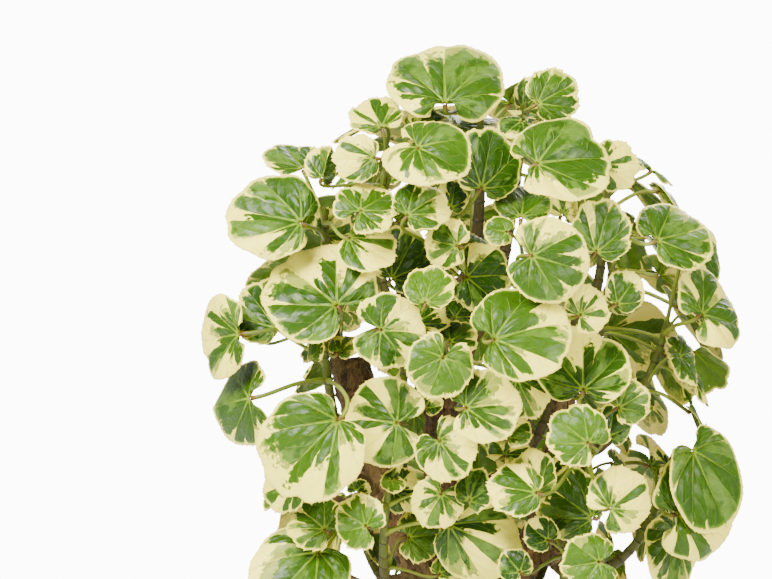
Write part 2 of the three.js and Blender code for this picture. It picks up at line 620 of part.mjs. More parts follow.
function polylineSamples(points, radii) {
  const samples = [];
  for (let i = 1; i < points.length; i += 1) {
    const span = (t) => points[i - 1].clone().lerp(points[i], t);
    const length = points[i - 1].distanceTo(points[i]);
    samples.push(...samplesAlong(span, length, STEM_SAMPLE_SPACING, radii[i - 1], radii[i]));
  }
  return samples;
}

for (const limb of LIMBS) addStem(-1, polylineSamples(limbPath(limb), limb.map((row) => row[3])));
SHOOTS.forEach((shoot, number) => {
  addStem(-1, polylineSamples(branchPath(shoot), BRANCH_RADII));
  const length = vector(shoot.base).distanceTo(vector(shoot.tip));
  const curve = (t) => alongShoot(shoot, t);
  addStem(number, samplesAlong(curve, length, STEM_SAMPLE_SPACING, SHOOT_BASE_RADIUS, SHOOT_TIP_RADIUS));
});
FRONT_LEAVES.forEach(placeFrontLeaf);
SHOOTS.forEach(placeTipLeaf);
let ruleLeaves = 0;
for (let attempt = 0; attempt < RULE_ATTEMPTS && ruleLeaves < RULE_LEAVES; attempt += 1) {
  if (placeRuleLeaf(ruleLeaves / RULE_LEAVES)) ruleLeaves += 1;
}

function largestPiece(whole) {
  return whole.decompose().reduce((best, piece) => (piece.volume() > best.volume() ? piece : best));
}

function leafyShoot(number) {
  const path = shootPath(SHOOTS[number]);
  const radii = path.map((_, i) => SHOOT_BASE_RADIUS
    + (SHOOT_TIP_RADIUS - SHOOT_BASE_RADIUS) * i / (path.length - 1));
  const pieces = [tube(path, radii, SHOOT_SIDES, new THREE.Vector3(1, 0, 0))];
  for (const leaf of leaves.filter((each) => each.shoot === number)) {
    pieces.push(leafSolid(leaf));
  }
  return largestPiece(wasm.Manifold.union(pieces));
}

function trunk() {
  const side = new THREE.Vector3(1, 0, 0);
  const pieces = LIMBS.map((limb) => tube(limbPath(limb), limb.map((row) => row[3]), LIMB_SIDES, side));
  for (const shoot of SHOOTS) pieces.push(tube(branchPath(shoot), BRANCH_RADII, BRANCH_SIDES, side));
  return largestPiece(wasm.Manifold.union(pieces));
}

// A closed solid turned about the upright axis from its profile of [radius, height] points
function turned(profile) {
  const vertices = [];
  const triangles = [];
  const rows = profile.length;
  for (let k = 0; k < POT_SIDES; k += 1) {
    const angle = 2 * Math.PI * k / POT_SIDES;
    for (const [radius, height] of profile) {
      vertices.push(radius * Math.cos(angle), radius * Math.sin(angle), height);
    }
    const next = (k + 1) % POT_SIDES;
    for (let i = 0; i < rows - 1; i += 1) {
      const a = k * rows + i;
      const b = next * rows + i;
      triangles.push(a, b, b + 1, a, b + 1, a + 1);
    }
  }
  const low = vertices.length / 3;
  vertices.push(0, 0, profile[0][1], 0, 0, profile[rows - 1][1]);
  for (let k = 0; k < POT_SIDES; k += 1) {
    const next = (k + 1) % POT_SIDES;
    triangles.push(low, next * rows, k * rows);
    triangles.push(low + 1, k * rows + rows - 1, next * rows + rows - 1);
  }
  return solid(vertices, triangles);
}

const potRadius = (height) => POT_BASE_RADIUS + (POT_TOP_RADIUS - POT_BASE_RADIUS) * height / POT_HEIGHT;

function pot() {
  const shoulder = POT_HEIGHT - POT_RIM_HEIGHT;
  const lip = POT_TOP_RADIUS + POT_RIM_WIDTH;
  const shell = turned([
    [POT_BASE_RADIUS - 3, 0], [POT_BASE_RADIUS, 3], [potRadius(shoulder), shoulder],
    [lip - 1, shoulder + 1.5], [lip, POT_HEIGHT - 2.5], [lip - 2, POT_HEIGHT],
    [potRadius(POT_HEIGHT) - POT_WALL + 1, POT_HEIGHT], [potRadius(POT_HEIGHT) - POT_WALL, POT_HEIGHT - 2],
    [potRadius(POT_WALL) - POT_WALL, POT_WALL + 0.5],
  ]);
  const holes = Array.from({ length: DRAIN_COUNT }, (_, i) => {
    const angle = 2 * Math.PI * (i + 0.5) / DRAIN_COUNT;
    const x = DRAIN_CIRCLE * Math.cos(angle);
    const y = DRAIN_CIRCLE * Math.sin(angle);
    const path = [new THREE.Vector3(x, y, -5), new THREE.Vector3(x, y, POT_WALL + 5)];
    return tube(path, [DRAIN_RADIUS, DRAIN_RADIUS], 8, new THREE.Vector3(1, 0, 0));
  });
  return shell.subtract(wasm.Manifold.union(holes));
}

// Potting mix that fills the pot to just under its rim, higher at the trunk, which stands in a
// plain hole in it
function soil() {
  const inner = (height) => potRadius(height) - POT_WALL - FIT_GAP;
  const bottom = POT_WALL + 0.5 + FIT_GAP;
  const mound = turned([
    [inner(bottom) - 0.3, bottom], [inner(SOIL_LEVEL - 4), SOIL_LEVEL - 4],
    [0.72 * inner(SOIL_LEVEL), SOIL_LEVEL], [0.4 * inner(SOIL_LEVEL), SOIL_LEVEL + 3],
  ]);
  const foot = SOIL_LEVEL - TRUNK_DEPTH - FIT_GAP;
  const path = [new THREE.Vector3(0, 0, foot), new THREE.Vector3(0, 0, SOIL_LEVEL + 20)];
  const radius = LIMBS[0][0][3] + FIT_GAP + 0.05;
  return mound.subtract(tube(path, [radius, radius], LIMB_SIDES, new THREE.Vector3(1, 0, 0)));
}

function material(colour, roughness) {
  return new THREE.MeshStandardMaterial({ color: colour, roughness, metalness: 0 });
}

const potMaterial = material(0x2b2c2e, 0.5);
const soilMaterial = material(0x3a2a1e, 0.95);
const barkMaterial = material(0x6b4f39, 0.85);
const leafMaterial = material(0x5f9440, 0.4);

function named(name, whole, finish) {
  const { vertProperties, triVerts } = whole.getMesh();
  const geometry = new THREE.BufferGeometry();
  geometry.setAttribute('position', new THREE.BufferAttribute(vertProperties, 3));
  geometry.setIndex(new THREE.BufferAttribute(triVerts, 1));
  const mesh = new THREE.Mesh(geometry, finish);
  mesh.name = name;
  return mesh;
}

const plant = new THREE.Group();
plant.add(named('pot', pot(), potMaterial));
plant.add(named('soil', soil(), soilMaterial));
plant.add(named('trunk', trunk(), barkMaterial));
SHOOTS.forEach((_, number) => {
  const name = `leafy_shoot_${String(number + 1).padStart(2, '0')}`;
  plant.add(named(name, leafyShoot(number), leafMaterial));
});

export default plant;
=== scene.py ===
import math

import bpy
import numpy as np
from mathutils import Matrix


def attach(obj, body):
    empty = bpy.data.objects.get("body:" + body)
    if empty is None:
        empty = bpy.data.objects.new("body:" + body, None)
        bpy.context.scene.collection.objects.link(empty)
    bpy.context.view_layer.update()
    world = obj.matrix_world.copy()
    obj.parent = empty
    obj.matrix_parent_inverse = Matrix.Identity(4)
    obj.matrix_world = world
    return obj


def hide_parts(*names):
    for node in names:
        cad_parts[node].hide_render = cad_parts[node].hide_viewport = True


# Potted variegated aralia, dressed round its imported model. Sizes are in millimetres, and
# new_piece turns them into metres. The leaves are laid out by the rule, the numbers and the order
# of draws that laid out their solids, so that each finer leaf lies on its own solid.
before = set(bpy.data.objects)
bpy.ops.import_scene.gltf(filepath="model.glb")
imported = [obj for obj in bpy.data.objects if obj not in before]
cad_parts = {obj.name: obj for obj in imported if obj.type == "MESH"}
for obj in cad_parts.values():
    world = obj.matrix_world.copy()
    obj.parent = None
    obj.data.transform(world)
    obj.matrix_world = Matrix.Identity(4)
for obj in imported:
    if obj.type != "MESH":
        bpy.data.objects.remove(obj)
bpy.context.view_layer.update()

# Camera. It looks straight at the plant's front, level with the upper part of the crown, from
# 2 m away. The picture's edges cut the plant off on the right and below.
PICTURE_SIZE = (772, 579)
PICTURE_CENTRE = (386, 289.5)
MM_PER_PIXEL = 0.7
PICTURE_CENTRE_X = -58.8
PICTURE_CENTRE_Z = 464.6
VIEW_DISTANCE = 2000

lens = bpy.data.cameras.new("picture_view")
lens.lens = lens.sensor_width * VIEW_DISTANCE / (PICTURE_SIZE[0] * MM_PER_PIXEL)
camera = bpy.data.objects.new("picture_view", lens)
camera.location = (PICTURE_CENTRE_X / 1000, -VIEW_DISTANCE / 1000, PICTURE_CENTRE_Z / 1000)
camera.rotation_euler = (math.pi / 2, 0, 0)
bpy.context.scene.collection.objects.link(camera)
bpy.context.scene.camera = camera

# Studio. A white room lights the plant evenly, before a brighter plain backdrop. One large soft
# box from the upper left in front gives the leaves their gloss, and others fill from the right
# and from behind.
ROOM_BRIGHTNESS = 0.52
BACKDROP_BRIGHTNESS = 12.0
KEY_PLACE = (-1.0, -1.5, 1.7)
KEY_POWER = 165
KEY_SIZE = 1.1
FILL_PLACE = (1.5, -1.5, 0.9)
FILL_POWER = 54
FILL_SIZE = 1.1
BACK_PLACE = (0.7, 1.8, 1.6)
BACK_POWER = 50
BACK_SIZE = 1.2
LIT_POINT = (0, 0, 0.42)
LAMP_COLOUR = (1.0, 0.97, 0.87)


def soft_box(name, place, power, size):
    """A square lamp at a place in metres, turned to shine on the middle of the crown."""
    lamp = bpy.data.lights.new(name, "AREA")
    lamp.energy = power
    lamp.color = LAMP_COLOUR
    lamp.size = size
    holder = bpy.data.objects.new(name, lamp)
    away = np.array(place) - LIT_POINT
    holder.location = place
    holder.rotation_euler = (math.acos(away[2] / np.linalg.norm(away)), 0,
                             math.atan2(away[0], -away[1]))
    bpy.context.scene.collection.objects.link(holder)


soft_box("key_box", KEY_PLACE, KEY_POWER, KEY_SIZE)
soft_box("fill_box", FILL_PLACE, FILL_POWER, FILL_SIZE)
soft_box("back_box", BACK_PLACE, BACK_POWER, BACK_SIZE)
room = bpy.data.worlds.new("white_room")
room.use_nodes = True
backdrop = room.node_tree.nodes["Background"].inputs
backdrop["Color"].default_value = (1, 1, 1, 1)
ray = room.node_tree.nodes.new("ShaderNodeLightPath")
brightness = room.node_tree.nodes.new("ShaderNodeMapRange")
brightness.inputs["To Min"].default_value = ROOM_BRIGHTNESS
brightness.inputs["To Max"].default_value = BACKDROP_BRIGHTNESS
room.node_tree.links.new(ray.outputs["Is Camera Ray"], brightness.inputs["Value"])
room.node_tree.links.new(brightness.outputs["Result"], backdrop["Strength"])
bpy.context.scene.world = room

# Pot. A plain tapered grow pot of dark grey moulded plastic: a thin wall with a wide band at the
# rim, a slightly thicker collar under it, a narrow band near the foot and a flat base with four
# drain holes. It has the faint sheen and the scuffs of a used pot.
POT_HEIGHT = 168
POT_TOP_RADIUS = 94
POT_BASE_RADIUS = 69
POT_WALL = 3.2
POT_RIM_WIDTH = 5.5
POT_RIM_HEIGHT = 13
POT_COLUMNS = 128
POT_EDGE = 2.2
POT_UNDERSIDE_INSET = 12
POT_FOOT_EDGE = 3
FOOT_BAND = (22, 28)
FOOT_BAND_PROUD = 0.5
COLLAR_HEIGHT = 24
COLLAR_PROUD = 0.7
COLLAR_FILLET = 0.8
POT_FLOOR = 3.7
POT_FLOOR_EDGE = 4
POT_GROOVE = 1
DRAIN_RADIUS = 6
DRAIN_CIRCLE = 42
DRAIN_COUNT = 4
DRAIN_COLUMNS = 24
CUTTER_SPARE = 5
PLASTIC_GREY = (34, 35, 37)
PLASTIC_SMUDGE = (66, 65, 62)
PLASTIC_GRAIN = (28, 29, 31)


class Wire:
    """One output of a node. Sums on wires and numbers add the Math nodes that work them out."""

    def __init__(self, finish, socket):
        self.finish = finish
        self.socket = socket

    def __getitem__(self, output):
        return Wire(self.finish, self.socket.node.outputs[output])

    def maths(self, operation, *values):
        values = dict(enumerate([self, *values]))
        return self.finish.node("ShaderNodeMath", {"operation": operation}, values)

    def __add__(self, other):
        return self.maths("ADD", other)

    def __sub__(self, other):
        return self.maths("SUBTRACT", other)

    def __mul__(self, other):
        return self.maths("MULTIPLY", other)

    def __rsub__(self, other):
        return (self * -1) + other

    def __truediv__(self, other):
        return self.maths("DIVIDE", other)

    __radd__ = __add__

    def step(self, low, high):
        """0 below low, 1 above high, and an even S between; low may be the greater of the two."""
        settings = {"interpolation_type": "SMOOTHSTEP"}
        sockets = {"Value": self, "From Min": low, "From Max": high}
        return self.finish.node("ShaderNodeMapRange", settings, sockets)


def on_screen(red, green, blue):
    """A colour as a screen shows it, in 0 to 255, turned into the light it stands for."""
    shown = np.array([red, green, blue]) / 255
    light = np.where(shown > 0.04045, ((shown + 0.055) / 1.055) ** 2.4, shown / 12.92)
    return (*light.tolist(), 1)


class Finish:
    """A material that is being made. node adds any node and gives its first output."""

    def __init__(self, name):
        self.material = bpy.data.materials.new(name)
        self.material.use_nodes = True
        self.material.node_tree.nodes.clear()

    def node(self, kind, settings, sockets):
        tree = self.material.node_tree
        made = tree.nodes.new(kind)
        for name, value in settings.items():
            setattr(made, name, value)
        for name, value in sockets.items():
            if isinstance(value, Wire):
                tree.links.new(value.socket, made.inputs[name])
            else:
                made.inputs[name].default_value = value
        return Wire(self, made.outputs[0]) if made.outputs else None

    def place(self):
        return self.node("ShaderNodeTexCoord", {}, {})["Object"]

    def attribute(self, name):
        """The three numbers that a mesh holds under this name at each of its points."""
        vector = self.node("ShaderNodeAttribute", {"attribute_name": name}, {})["Vector"]
        parts = self.node("ShaderNodeSeparateXYZ", {}, {"Vector": vector})
        return parts["X"], parts["Y"], parts["Z"]

    def vector(self, x, y, z):
        return self.node("ShaderNodeCombineXYZ", {}, {"X": x, "Y": y, "Z": z})

    def noise(self, vector, scale, detail=2.0):
        sockets = {"Vector": vector, "Scale": scale, "Detail": detail}
        return self.node("ShaderNodeTexNoise", {}, sockets)

    def dice(self, number):
        """Three random numbers from 0 to 1 that belong to a whole number."""
        thrown = self.node("ShaderNodeTexWhiteNoise", {"noise_dimensions": "1D"}, {"W": number})
        parts = self.node("ShaderNodeSeparateXYZ", {}, {"Vector": thrown["Color"]})
        return parts["X"], parts["Y"], parts["Z"]

    def mix(self, share, first, second):
        """A colour between two others, each a wire or three numbers as on_screen takes them."""
        first, second = (colour if isinstance(colour, Wire) else on_screen(*colour)
                         for colour in (first, second))
        sockets = {0: share, 6: first, 7: second}
        return self.node("ShaderNodeMix", {"data_type": "RGBA"}, sockets)[2]

    def surface(self, colour, roughness, height, depth, constants):
        """Ends the material: a glossy surface whose bumps are that many metres deep."""
        bump = self.node("ShaderNodeBump", {}, {"Height": height, "Distance": depth})
        sockets = {"Base Color": colour, "Roughness": roughness, "Normal": bump, **constants}
        shader = self.node("ShaderNodeBsdfPrincipled", {}, sockets)
        self.node("ShaderNodeOutputMaterial", {}, {"Surface": shader})
        return self.material


def grid_faces(rows, columns, round_columns=False):
    """Four-cornered faces of a grid of points that are numbered row by row. With round_columns the
    last column is joined to the first."""
    steps = columns if round_columns else columns - 1
    row, column = np.meshgrid(np.arange(rows - 1), np.arange(steps), indexing="ij")
    beside = (column + 1) % columns
    corners = [row * columns + column, row * columns + beside,
               (row + 1) * columns + beside, (row + 1) * columns + column]
    return np.stack(corners, axis=-1).reshape(-1, 4)


def fan_faces(ring, pole):
    """Triangles from each side of a closed ring of point numbers to a pole."""
    return np.stack([ring, np.roll(ring, -1), np.full(len(ring), pole)], axis=-1)


def capped(rows, columns):
    """Faces of a closed solid whose points are rows of rings, then a pole below and one above."""
    first = np.arange(columns)
    last = first + (rows - 1) * columns
    poles = rows * columns
    return [grid_faces(rows, columns, True), fan_faces(first[::-1], poles),
            fan_faces(last, poles + 1)]


def turned(profile, columns):
    """A solid turned about the upright axis: each point of the profile, as radius and height, at
    even angles, closed by a pole on the axis at each end."""
    radius, height = np.array(profile, float).T[:, :, None]
    angle = np.linspace(0, 2 * math.pi, columns, endpoint=False)
    rings = np.stack([radius * np.cos(angle), radius * np.sin(angle), height + 0 * angle], axis=-1)
    poles = [[0, 0, height[0, 0]], [0, 0, height[-1, 0]]]
    return np.concatenate([rings.reshape(-1, 3), poles]), capped(len(profile), columns)


def new_piece(name, points, faces, finishes, face_finish=None, attributes=()):
    """A smooth mesh object from points in millimetres and lists of faces as point numbers. The
    attributes are (name, three numbers for each point)."""
    mesh = bpy.data.meshes.new(name)
    sizes = np.concatenate([np.full(len(group), group.shape[1]) for group in faces])
    corners = np.concatenate([group.ravel() for group in faces])
    mesh.vertices.add(len(points))
    mesh.vertices.foreach_set("co", (points * 0.001).astype(np.float32).ravel())
    mesh.loops.add(len(corners))
    mesh.loops.foreach_set("vertex_index", corners.astype(np.int32))
    mesh.polygons.add(len(sizes))
    mesh.polygons.foreach_set("loop_start", (np.cumsum(sizes) - sizes).astype(np.int32))
    mesh.polygons.foreach_set("use_smooth", np.ones(len(sizes), bool))
    if face_finish is not None:
        mesh.polygons.foreach_set("material_index", face_finish.astype(np.int32))
    for label, values in attributes:
        layer = mesh.attributes.new(label, "FLOAT_VECTOR", "POINT")
        layer.data.foreach_set("vector", values.astype(np.float32).ravel())
    mesh.update(calc_edges=True)
    for finish in finishes:
        mesh.materials.append(finish)
    piece = bpy.data.objects.new(name, mesh)
    bpy.context.scene.collection.objects.link(piece)
    return piece


def arc(radius, height, size, start, end, count=6):
    """Points of a profile on a round edge: a centre, the edge's radius and its two angles."""
    angle = np.radians(np.linspace(start, end, count))
    return list(zip(radius + size * np.cos(angle), height + size * np.sin(angle)))


def pot_radius(height):
    return POT_BASE_RADIUS + (POT_TOP_RADIUS - POT_BASE_RADIUS) * height / POT_HEIGHT


def cut_holes(piece, cutter):
    """Takes a cutter's solid out of a piece, for good."""
    cut = piece.modifiers.new("holes", "BOOLEAN")
    cut.object = cutter
    cut.solver = "EXACT"
    whole = piece.evaluated_get(bpy.context.evaluated_depsgraph_get())
    piece.data = bpy.data.meshes.new_from_object(whole)
    piece.modifiers.clear()
    bpy.data.objects.remove(cutter)


def pot_plastic():
    """Dark grey plastic: a fine moulded grain, and paler dry smudges that are also duller."""
    finish = Finish("dark_pot_plastic")
    place = finish.place()
    grain = finish.noise(place, 1400.0)
    smudge = finish.noise(place, 30.0, 8.0).step(0.5, 0.8)
    colour = finish.mix(smudge * 0.35, PLASTIC_GREY, PLASTIC_SMUDGE)
    colour = finish.mix(grain.step(0.35, 0.75) * 0.25, colour, PLASTIC_GRAIN)
    return finish.surface(colour, smudge * 0.22 + 0.4, grain, 0.00006, {})


band_low, band_high = FOOT_BAND
shoulder = POT_HEIGHT - POT_RIM_HEIGHT
collar = shoulder - COLLAR_HEIGHT
lip = POT_TOP_RADIUS + POT_RIM_WIDTH
bore = pot_radius(POT_HEIGHT) - POT_WALL
floor_radius = pot_radius(POT_WALL) - POT_WALL
floor_edge_top = POT_FLOOR + POT_FLOOR_EDGE
pot_profile = [
    (POT_BASE_RADIUS - POT_UNDERSIDE_INSET, 0),
    *arc(POT_BASE_RADIUS - POT_FOOT_EDGE, POT_FOOT_EDGE, POT_FOOT_EDGE, -90, -8),
    (pot_radius(band_low), band_low),
    (pot_radius(band_low + 1) + FOOT_BAND_PROUD, band_low + 1),
    (pot_radius(band_high - 1) + FOOT_BAND_PROUD, band_high - 1),
    (pot_radius(band_high), band_high),
    (pot_radius(collar), collar),
    (pot_radius(collar + 1) + COLLAR_PROUD, collar + 1),
    *arc(pot_radius(shoulder) + COLLAR_PROUD + COLLAR_FILLET, shoulder - COLLAR_FILLET,
         COLLAR_FILLET, 180, 90, 4),
    *arc(lip - POT_EDGE, shoulder + POT_EDGE, POT_EDGE, -90, 0),
    *arc(lip - POT_EDGE, POT_HEIGHT - POT_EDGE, POT_EDGE, 0, 90),
    *arc(bore + POT_EDGE, POT_HEIGHT - POT_EDGE, POT_EDGE, 90, 180),
    (floor_radius + POT_GROOVE, floor_edge_top - POT_GROOVE / 2),
    *arc(floor_radius - POT_FLOOR_EDGE, floor_edge_top, POT_FLOOR_EDGE, 0, -90),
]
pot = new_piece("pot_shell", *turned(pot_profile, POT_COLUMNS), [pot_plastic()])
for number in range(DRAIN_COUNT):
    heading = 2 * math.pi * (number + 0.5) / DRAIN_COUNT
    hole_profile = [(DRAIN_RADIUS, -CUTTER_SPARE), (DRAIN_RADIUS, POT_WALL + CUTTER_SPARE)]
    hole_points, hole_faces = turned(hole_profile, DRAIN_COLUMNS)
    hole_points[:, :2] += DRAIN_CIRCLE * np.array([math.cos(heading), math.sin(heading)])
    cut_holes(pot, new_piece("drain_cutter", hole_points, hole_faces, []))
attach(pot, "root")
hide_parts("pot")

# Potting mix. A dark peaty bed that fills the pot to just under its rim and rises to the stem,
# strewn with chips of bark and a few white grains of perlite that lie half sunk in it.
SOIL_LEVEL = 150
FIT_GAP = 0.35
BED_COLUMNS = 160
BED_RINGS = 52
BED_INSET = 0.6
BED_BOTTOM = 96
BED_TAPER = 8
BED_EDGE_INSET = 0.5
BED_EDGE_DEPTH = 3
MOUND_HEIGHT = 3.5
MOUND_RADIUS = 62
LUMPS = ((1.1, 17), (0.6, 7))
SINES_IN_WAVES = 14
CHIP_COUNT = 620
CHIP_SIZES = (1.6, 5.2)
CHIP_COLUMNS = 7
CHIP_RING_HEIGHTS = (-0.72, -0.1, 0.62)
CHIP_CORNERS = (0.72, 1.2)
CHIP_SQUASH = (0.45, 1)
CHIP_LIFT = 0.25
CHIPS_OFF_STEM = 24
CHIPS_OFF_WALL = 7
PERLITE_SHARE = 0.13
SOIL_SEED = 31
PEAT_DARK = (38, 26, 19)
PEAT_PALE = (82, 60, 44)
CHIP_DARK = (70, 46, 32)
CHIP_PALE = (142, 104, 74)
PERLITE_WHITE = (226, 222, 212)


def waves(points, length, seed):
    """Smooth unevenness of about -1 to 1 at points in millimetres: the sum of sines of that wave
    length that run in seeded directions, over the root of twice their number."""
    dice = np.random.default_rng(seed)
    ways = dice.normal(size=(SINES_IN_WAVES, 3))
    ways *= 2 * math.pi / length / np.linalg.norm(ways, axis=1, keepdims=True)
    phases = dice.uniform(0, 2 * math.pi, SINES_IN_WAVES)
    return np.sin(points @ ways.T + phases).sum(axis=-1) / math.sqrt(2 * SINES_IN_WAVES)


def soil_height(x, y):
    """Height of the bed: a low cone about the stem, with lumps of two sizes on it. Each size is
    given by its height and its wave length."""
    spot = np.stack([x, y, 0 * x], axis=-1)
    mound = MOUND_HEIGHT * np.clip(1 - np.hypot(x, y) / MOUND_RADIUS, 0, 1)
    lumps = sum(height * waves(spot, length, SOIL_SEED + number)
                for number, (height, length) in enumerate(LUMPS))
    return SOIL_LEVEL + mound + lumps


def soil_finish():
    """Damp peat and bark. The mesh says how each chip is coloured; the bed is the darkest."""
    finish = Finish("potting_mix")
    place = finish.place()
    kind, pale, _ = finish.attribute("habit")
    crumbs = finish.noise(place, 420.0, 5.0)
    fibre = finish.noise(place, 95.0, 4.0)
    peat = finish.mix(crumbs.step(0.35, 0.7), PEAT_DARK, PEAT_PALE)
    bark = finish.mix(fibre.step(0.3, 0.7), CHIP_DARK, CHIP_PALE)
    colour = finish.mix(kind, peat, bark)
    colour = finish.mix(pale, colour, PERLITE_WHITE)
    return finish.surface(colour, crumbs * 0.2 + 0.75, crumbs, 0.0012, {})


def chip_field(count, seed):
    """Small uneven chips of a soil: rings on a ball, whose points are pushed in and out, then
    squashed, turned and placed, all by seeded draws. Each chip is bark or, now and then, perlite."""
    dice = np.random.default_rng(seed)
    rise = np.array(CHIP_RING_HEIGHTS)
    angle = np.linspace(0, 2 * math.pi, CHIP_COLUMNS, endpoint=False)
    level = np.sqrt(1 - rise ** 2)[:, None]
    rings = np.stack([level * np.cos(angle), level * np.sin(angle),
                      rise[:, None] + 0 * angle], axis=-1)
    one = np.concatenate([rings.reshape(-1, 3), [[0, 0, -1], [0, 0, 1]]])
    uneven = one * dice.uniform(*CHIP_CORNERS, (count, len(one), 1))
    size = dice.uniform(*CHIP_SIZES, (count, 1, 1)) * dice.uniform(*CHIP_SQUASH, (count, 1, 3))
    spin, _ = np.linalg.qr(dice.normal(size=(count, 3, 3)))
    spin *= np.sign(np.linalg.det(spin))[:, None, None]
    radius = np.sqrt(dice.uniform(CHIPS_OFF_STEM ** 2, (bore - CHIPS_OFF_WALL) ** 2, count))
    heading = dice.uniform(0, 2 * math.pi, count)
    x, y = radius * np.cos(heading), radius * np.sin(heading)
    middle = np.stack([x, y, soil_height(x, y) + CHIP_LIFT * size[:, 0, 0]], axis=-1)
    points = np.einsum("cpi,cji->cpj", uneven * size, spin) + middle[:, None, :]
    shift = np.arange(count)[:, None, None] * len(one)
    faces = [(group + shift).reshape(-1, group.shape[1])
             for group in capped(len(rise), CHIP_COLUMNS)]
    perlite = dice.uniform(size=count) < PERLITE_SHARE
    habit = np.stack([~perlite * dice.uniform(0.2, 1, count), perlite * 0.95, 0 * radius], axis=-1)
    return points.reshape(-1, 3), faces, np.repeat(habit, len(one), axis=0)


def joined(parts):
    """One body of points, faces and habits from several."""
    starts = np.cumsum([0] + [len(part[0]) for part in parts])
    faces = [group + start for part, start in zip(parts, starts) for group in part[1]]
    return (np.concatenate([part[0] for part in parts]), faces,
            np.concatenate([part[2] for part in parts]))


bed_radius = pot_radius(SOIL_LEVEL) - POT_WALL - FIT_GAP - BED_INSET
bed_profile = [
    (bed_radius - BED_TAPER, BED_BOTTOM),
    (bed_radius - BED_TAPER + 1, BED_BOTTOM + 1),
    (bed_radius - BED_EDGE_INSET, SOIL_LEVEL - BED_EDGE_DEPTH),
    *[(share * bed_radius, SOIL_LEVEL) for share in np.linspace(1, 0.02, BED_RINGS)],
]
bed_points, bed_faces = turned(bed_profile, BED_COLUMNS)
on_top = bed_points[:, 2] >= SOIL_LEVEL
bed_points[on_top, 2] = soil_height(bed_points[on_top, 0], bed_points[on_top, 1])
soil_points, soil_faces, soil_habit = joined([
    (bed_points, bed_faces, np.zeros_like(bed_points)), chip_field(CHIP_COUNT, SOIL_SEED)])
soil = new_piece("potting_mix", soil_points, soil_faces, [soil_finish()],
                 attributes=[("habit", soil_habit)])
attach(soil, "root")
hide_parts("soil")

# Woody stem. A stout gnarled stem that was cut back and grew five limbs, with knots where shoots
# were lost, and a thin ringed branch under each leafy shoot. Brown bark, darker in its furrows and
# near black at their bottom as painted shade.
TRUNK_DEPTH = 60
LIMBS = [
    [(0, 0, SOIL_LEVEL - TRUNK_DEPTH, 18), (0, 0, 156, 18), (-4, -2, 195, 17), (-8, 0, 242, 16)],
    [(-8, 0, 240, 14), (-36, -8, 275, 14.5), (-57, -14, 322, 13), (-72, -16, 368, 14),
     (-84, -17, 416, 13)],
    [(-8, 1, 236, 13), (-12, 2, 300, 12.5), (-22, -3, 360, 11.5), (-9, -8, 420, 8),
     (2, -20, 486, 5)],
    [(-7, 0, 222, 11), (25, -2, 255, 12), (50, -4, 300, 11), (62, 0, 358, 9), (68, 2, 410, 6.5)],
    [(-6, 2, 226, 10), (-8, 32, 262, 11), (-15, 52, 320, 9), (-10, 55, 382, 7), (-4, 51, 432, 5.5)],
]
# For each leafy shoot: the foot of its woody branch on a limb, the top of that branch, the point
# that pulls the green shoot's curve, and the shoot's tip
SHOOTS = [
    [(-21, -4, 366), (-42, -40, 428), (-52, -60, 480), (-60, -72, 536)],
    [(-58, -14, 326), (-90, -48, 350), (-97, -68, 390), (-102, -78, 438)],
    [(-1, -17, 470), (4, -27, 502), (8, -38, 545), (5, -46, 592)],
    [(-8, -8, 418), (22, -20, 482), (31, -32, 530), (36, -48, 585)],
    [(62, 0, 358), (64, -34, 404), (78, -60, 465), (72, -76, 530)],
    [(-22, -3, 356), (-26, -46, 392), (-32, -78, 440), (-26, -90, 492)],
    [(47, -4, 296), (40, -44, 340), (36, -76, 400), (36, -92, 462)],
    [(-40, -9, 282), (-47, -48, 328), (-50, -80, 366), (-46, -94, 412)],
    [(-12, 2, 292), (-6, -44, 312), (-6, -84, 345), (-3, -96, 390)],
    [(42, -3, 284), (60, -42, 288), (68, -72, 316), (76, -88, 354)],
    [(-34, -8, 272), (-56, -42, 254), (-64, -74, 278), (-58, -88, 322)],
    [(-34, -6, 272), (-80, -32, 256), (-106, -54, 280), (-118, -66, 322)],
    [(-4, -2, 200), (50, -34, 224), (60, -66, 248), (62, -82, 288)],
    [(-79, -16, 390), (-93, -34, 424), (-98, -54, 465), (-100, -68, 512)],
    [(68, 2, 408), (82, 8, 434), (96, 18, 480), (98, 22, 534)],
    [(61, 0, 352), (96, -10, 362), (121, -20, 388), (134, -26, 436)],
    [(46, -3, 292), (86, -4, 266), (115, -14, 276), (130, -20, 318)],
    [(-11, 55, 372), (-46, 50, 424), (-66, 62, 475), (-72, 74, 530)],
    [(-4, 51, 428), (1, 53, 458), (7, 64, 505), (4, 74, 560)],
    [(-14, 50, 312), (44, 52, 350), (72, 74, 390), (80, 90, 450)],
    [(-14, 50, 312), (-62, 52, 338), (-84, 72, 372), (-92, 84, 426)],
    [(-13, 54, 345), (-9, 82, 354), (-6, 98, 378), (-4, 106, 420)],
    [(-8, 32, 262), (-48, 50, 244), (-72, 74, 258), (-80, 84, 302)],
    [(-8, 32, 262), (42, 54, 244), (60, 82, 258), (66, 96, 304)],
    [(-58, -14, 318), (-98, -2, 318), (-124, 4, 330), (-134, 6, 368)],
    [(-30, -6, 268), (-88, 10, 262), (-112, 16, 276), (-122, 20, 314)],
    [(66, 1, 394), (80, 36, 404), (98, 54, 430), (104, 62, 480)],
]
SHOOTS = [np.array(shoot, float) for shoot in SHOOTS]
BRANCH_RADII = (6, 5.2, 4.7, 4.5)
BRANCH_RADII_PLACES = (0, 0.5, 0.85, 1)
BRANCH_BEND = 0.3
BRANCH_STRAIGHT = 7
BRANCH_STRAIGHT_STEPS = (2.3, 4.6, BRANCH_STRAIGHT)
BRANCH_FLARE = 3.2
BRANCH_FLARE_LENGTH = 7
BRANCH_FURROWS = 5
BRANCH_FURROW_DEPTH = 0.035
BRANCH_FURROW_TWIST = 0.06
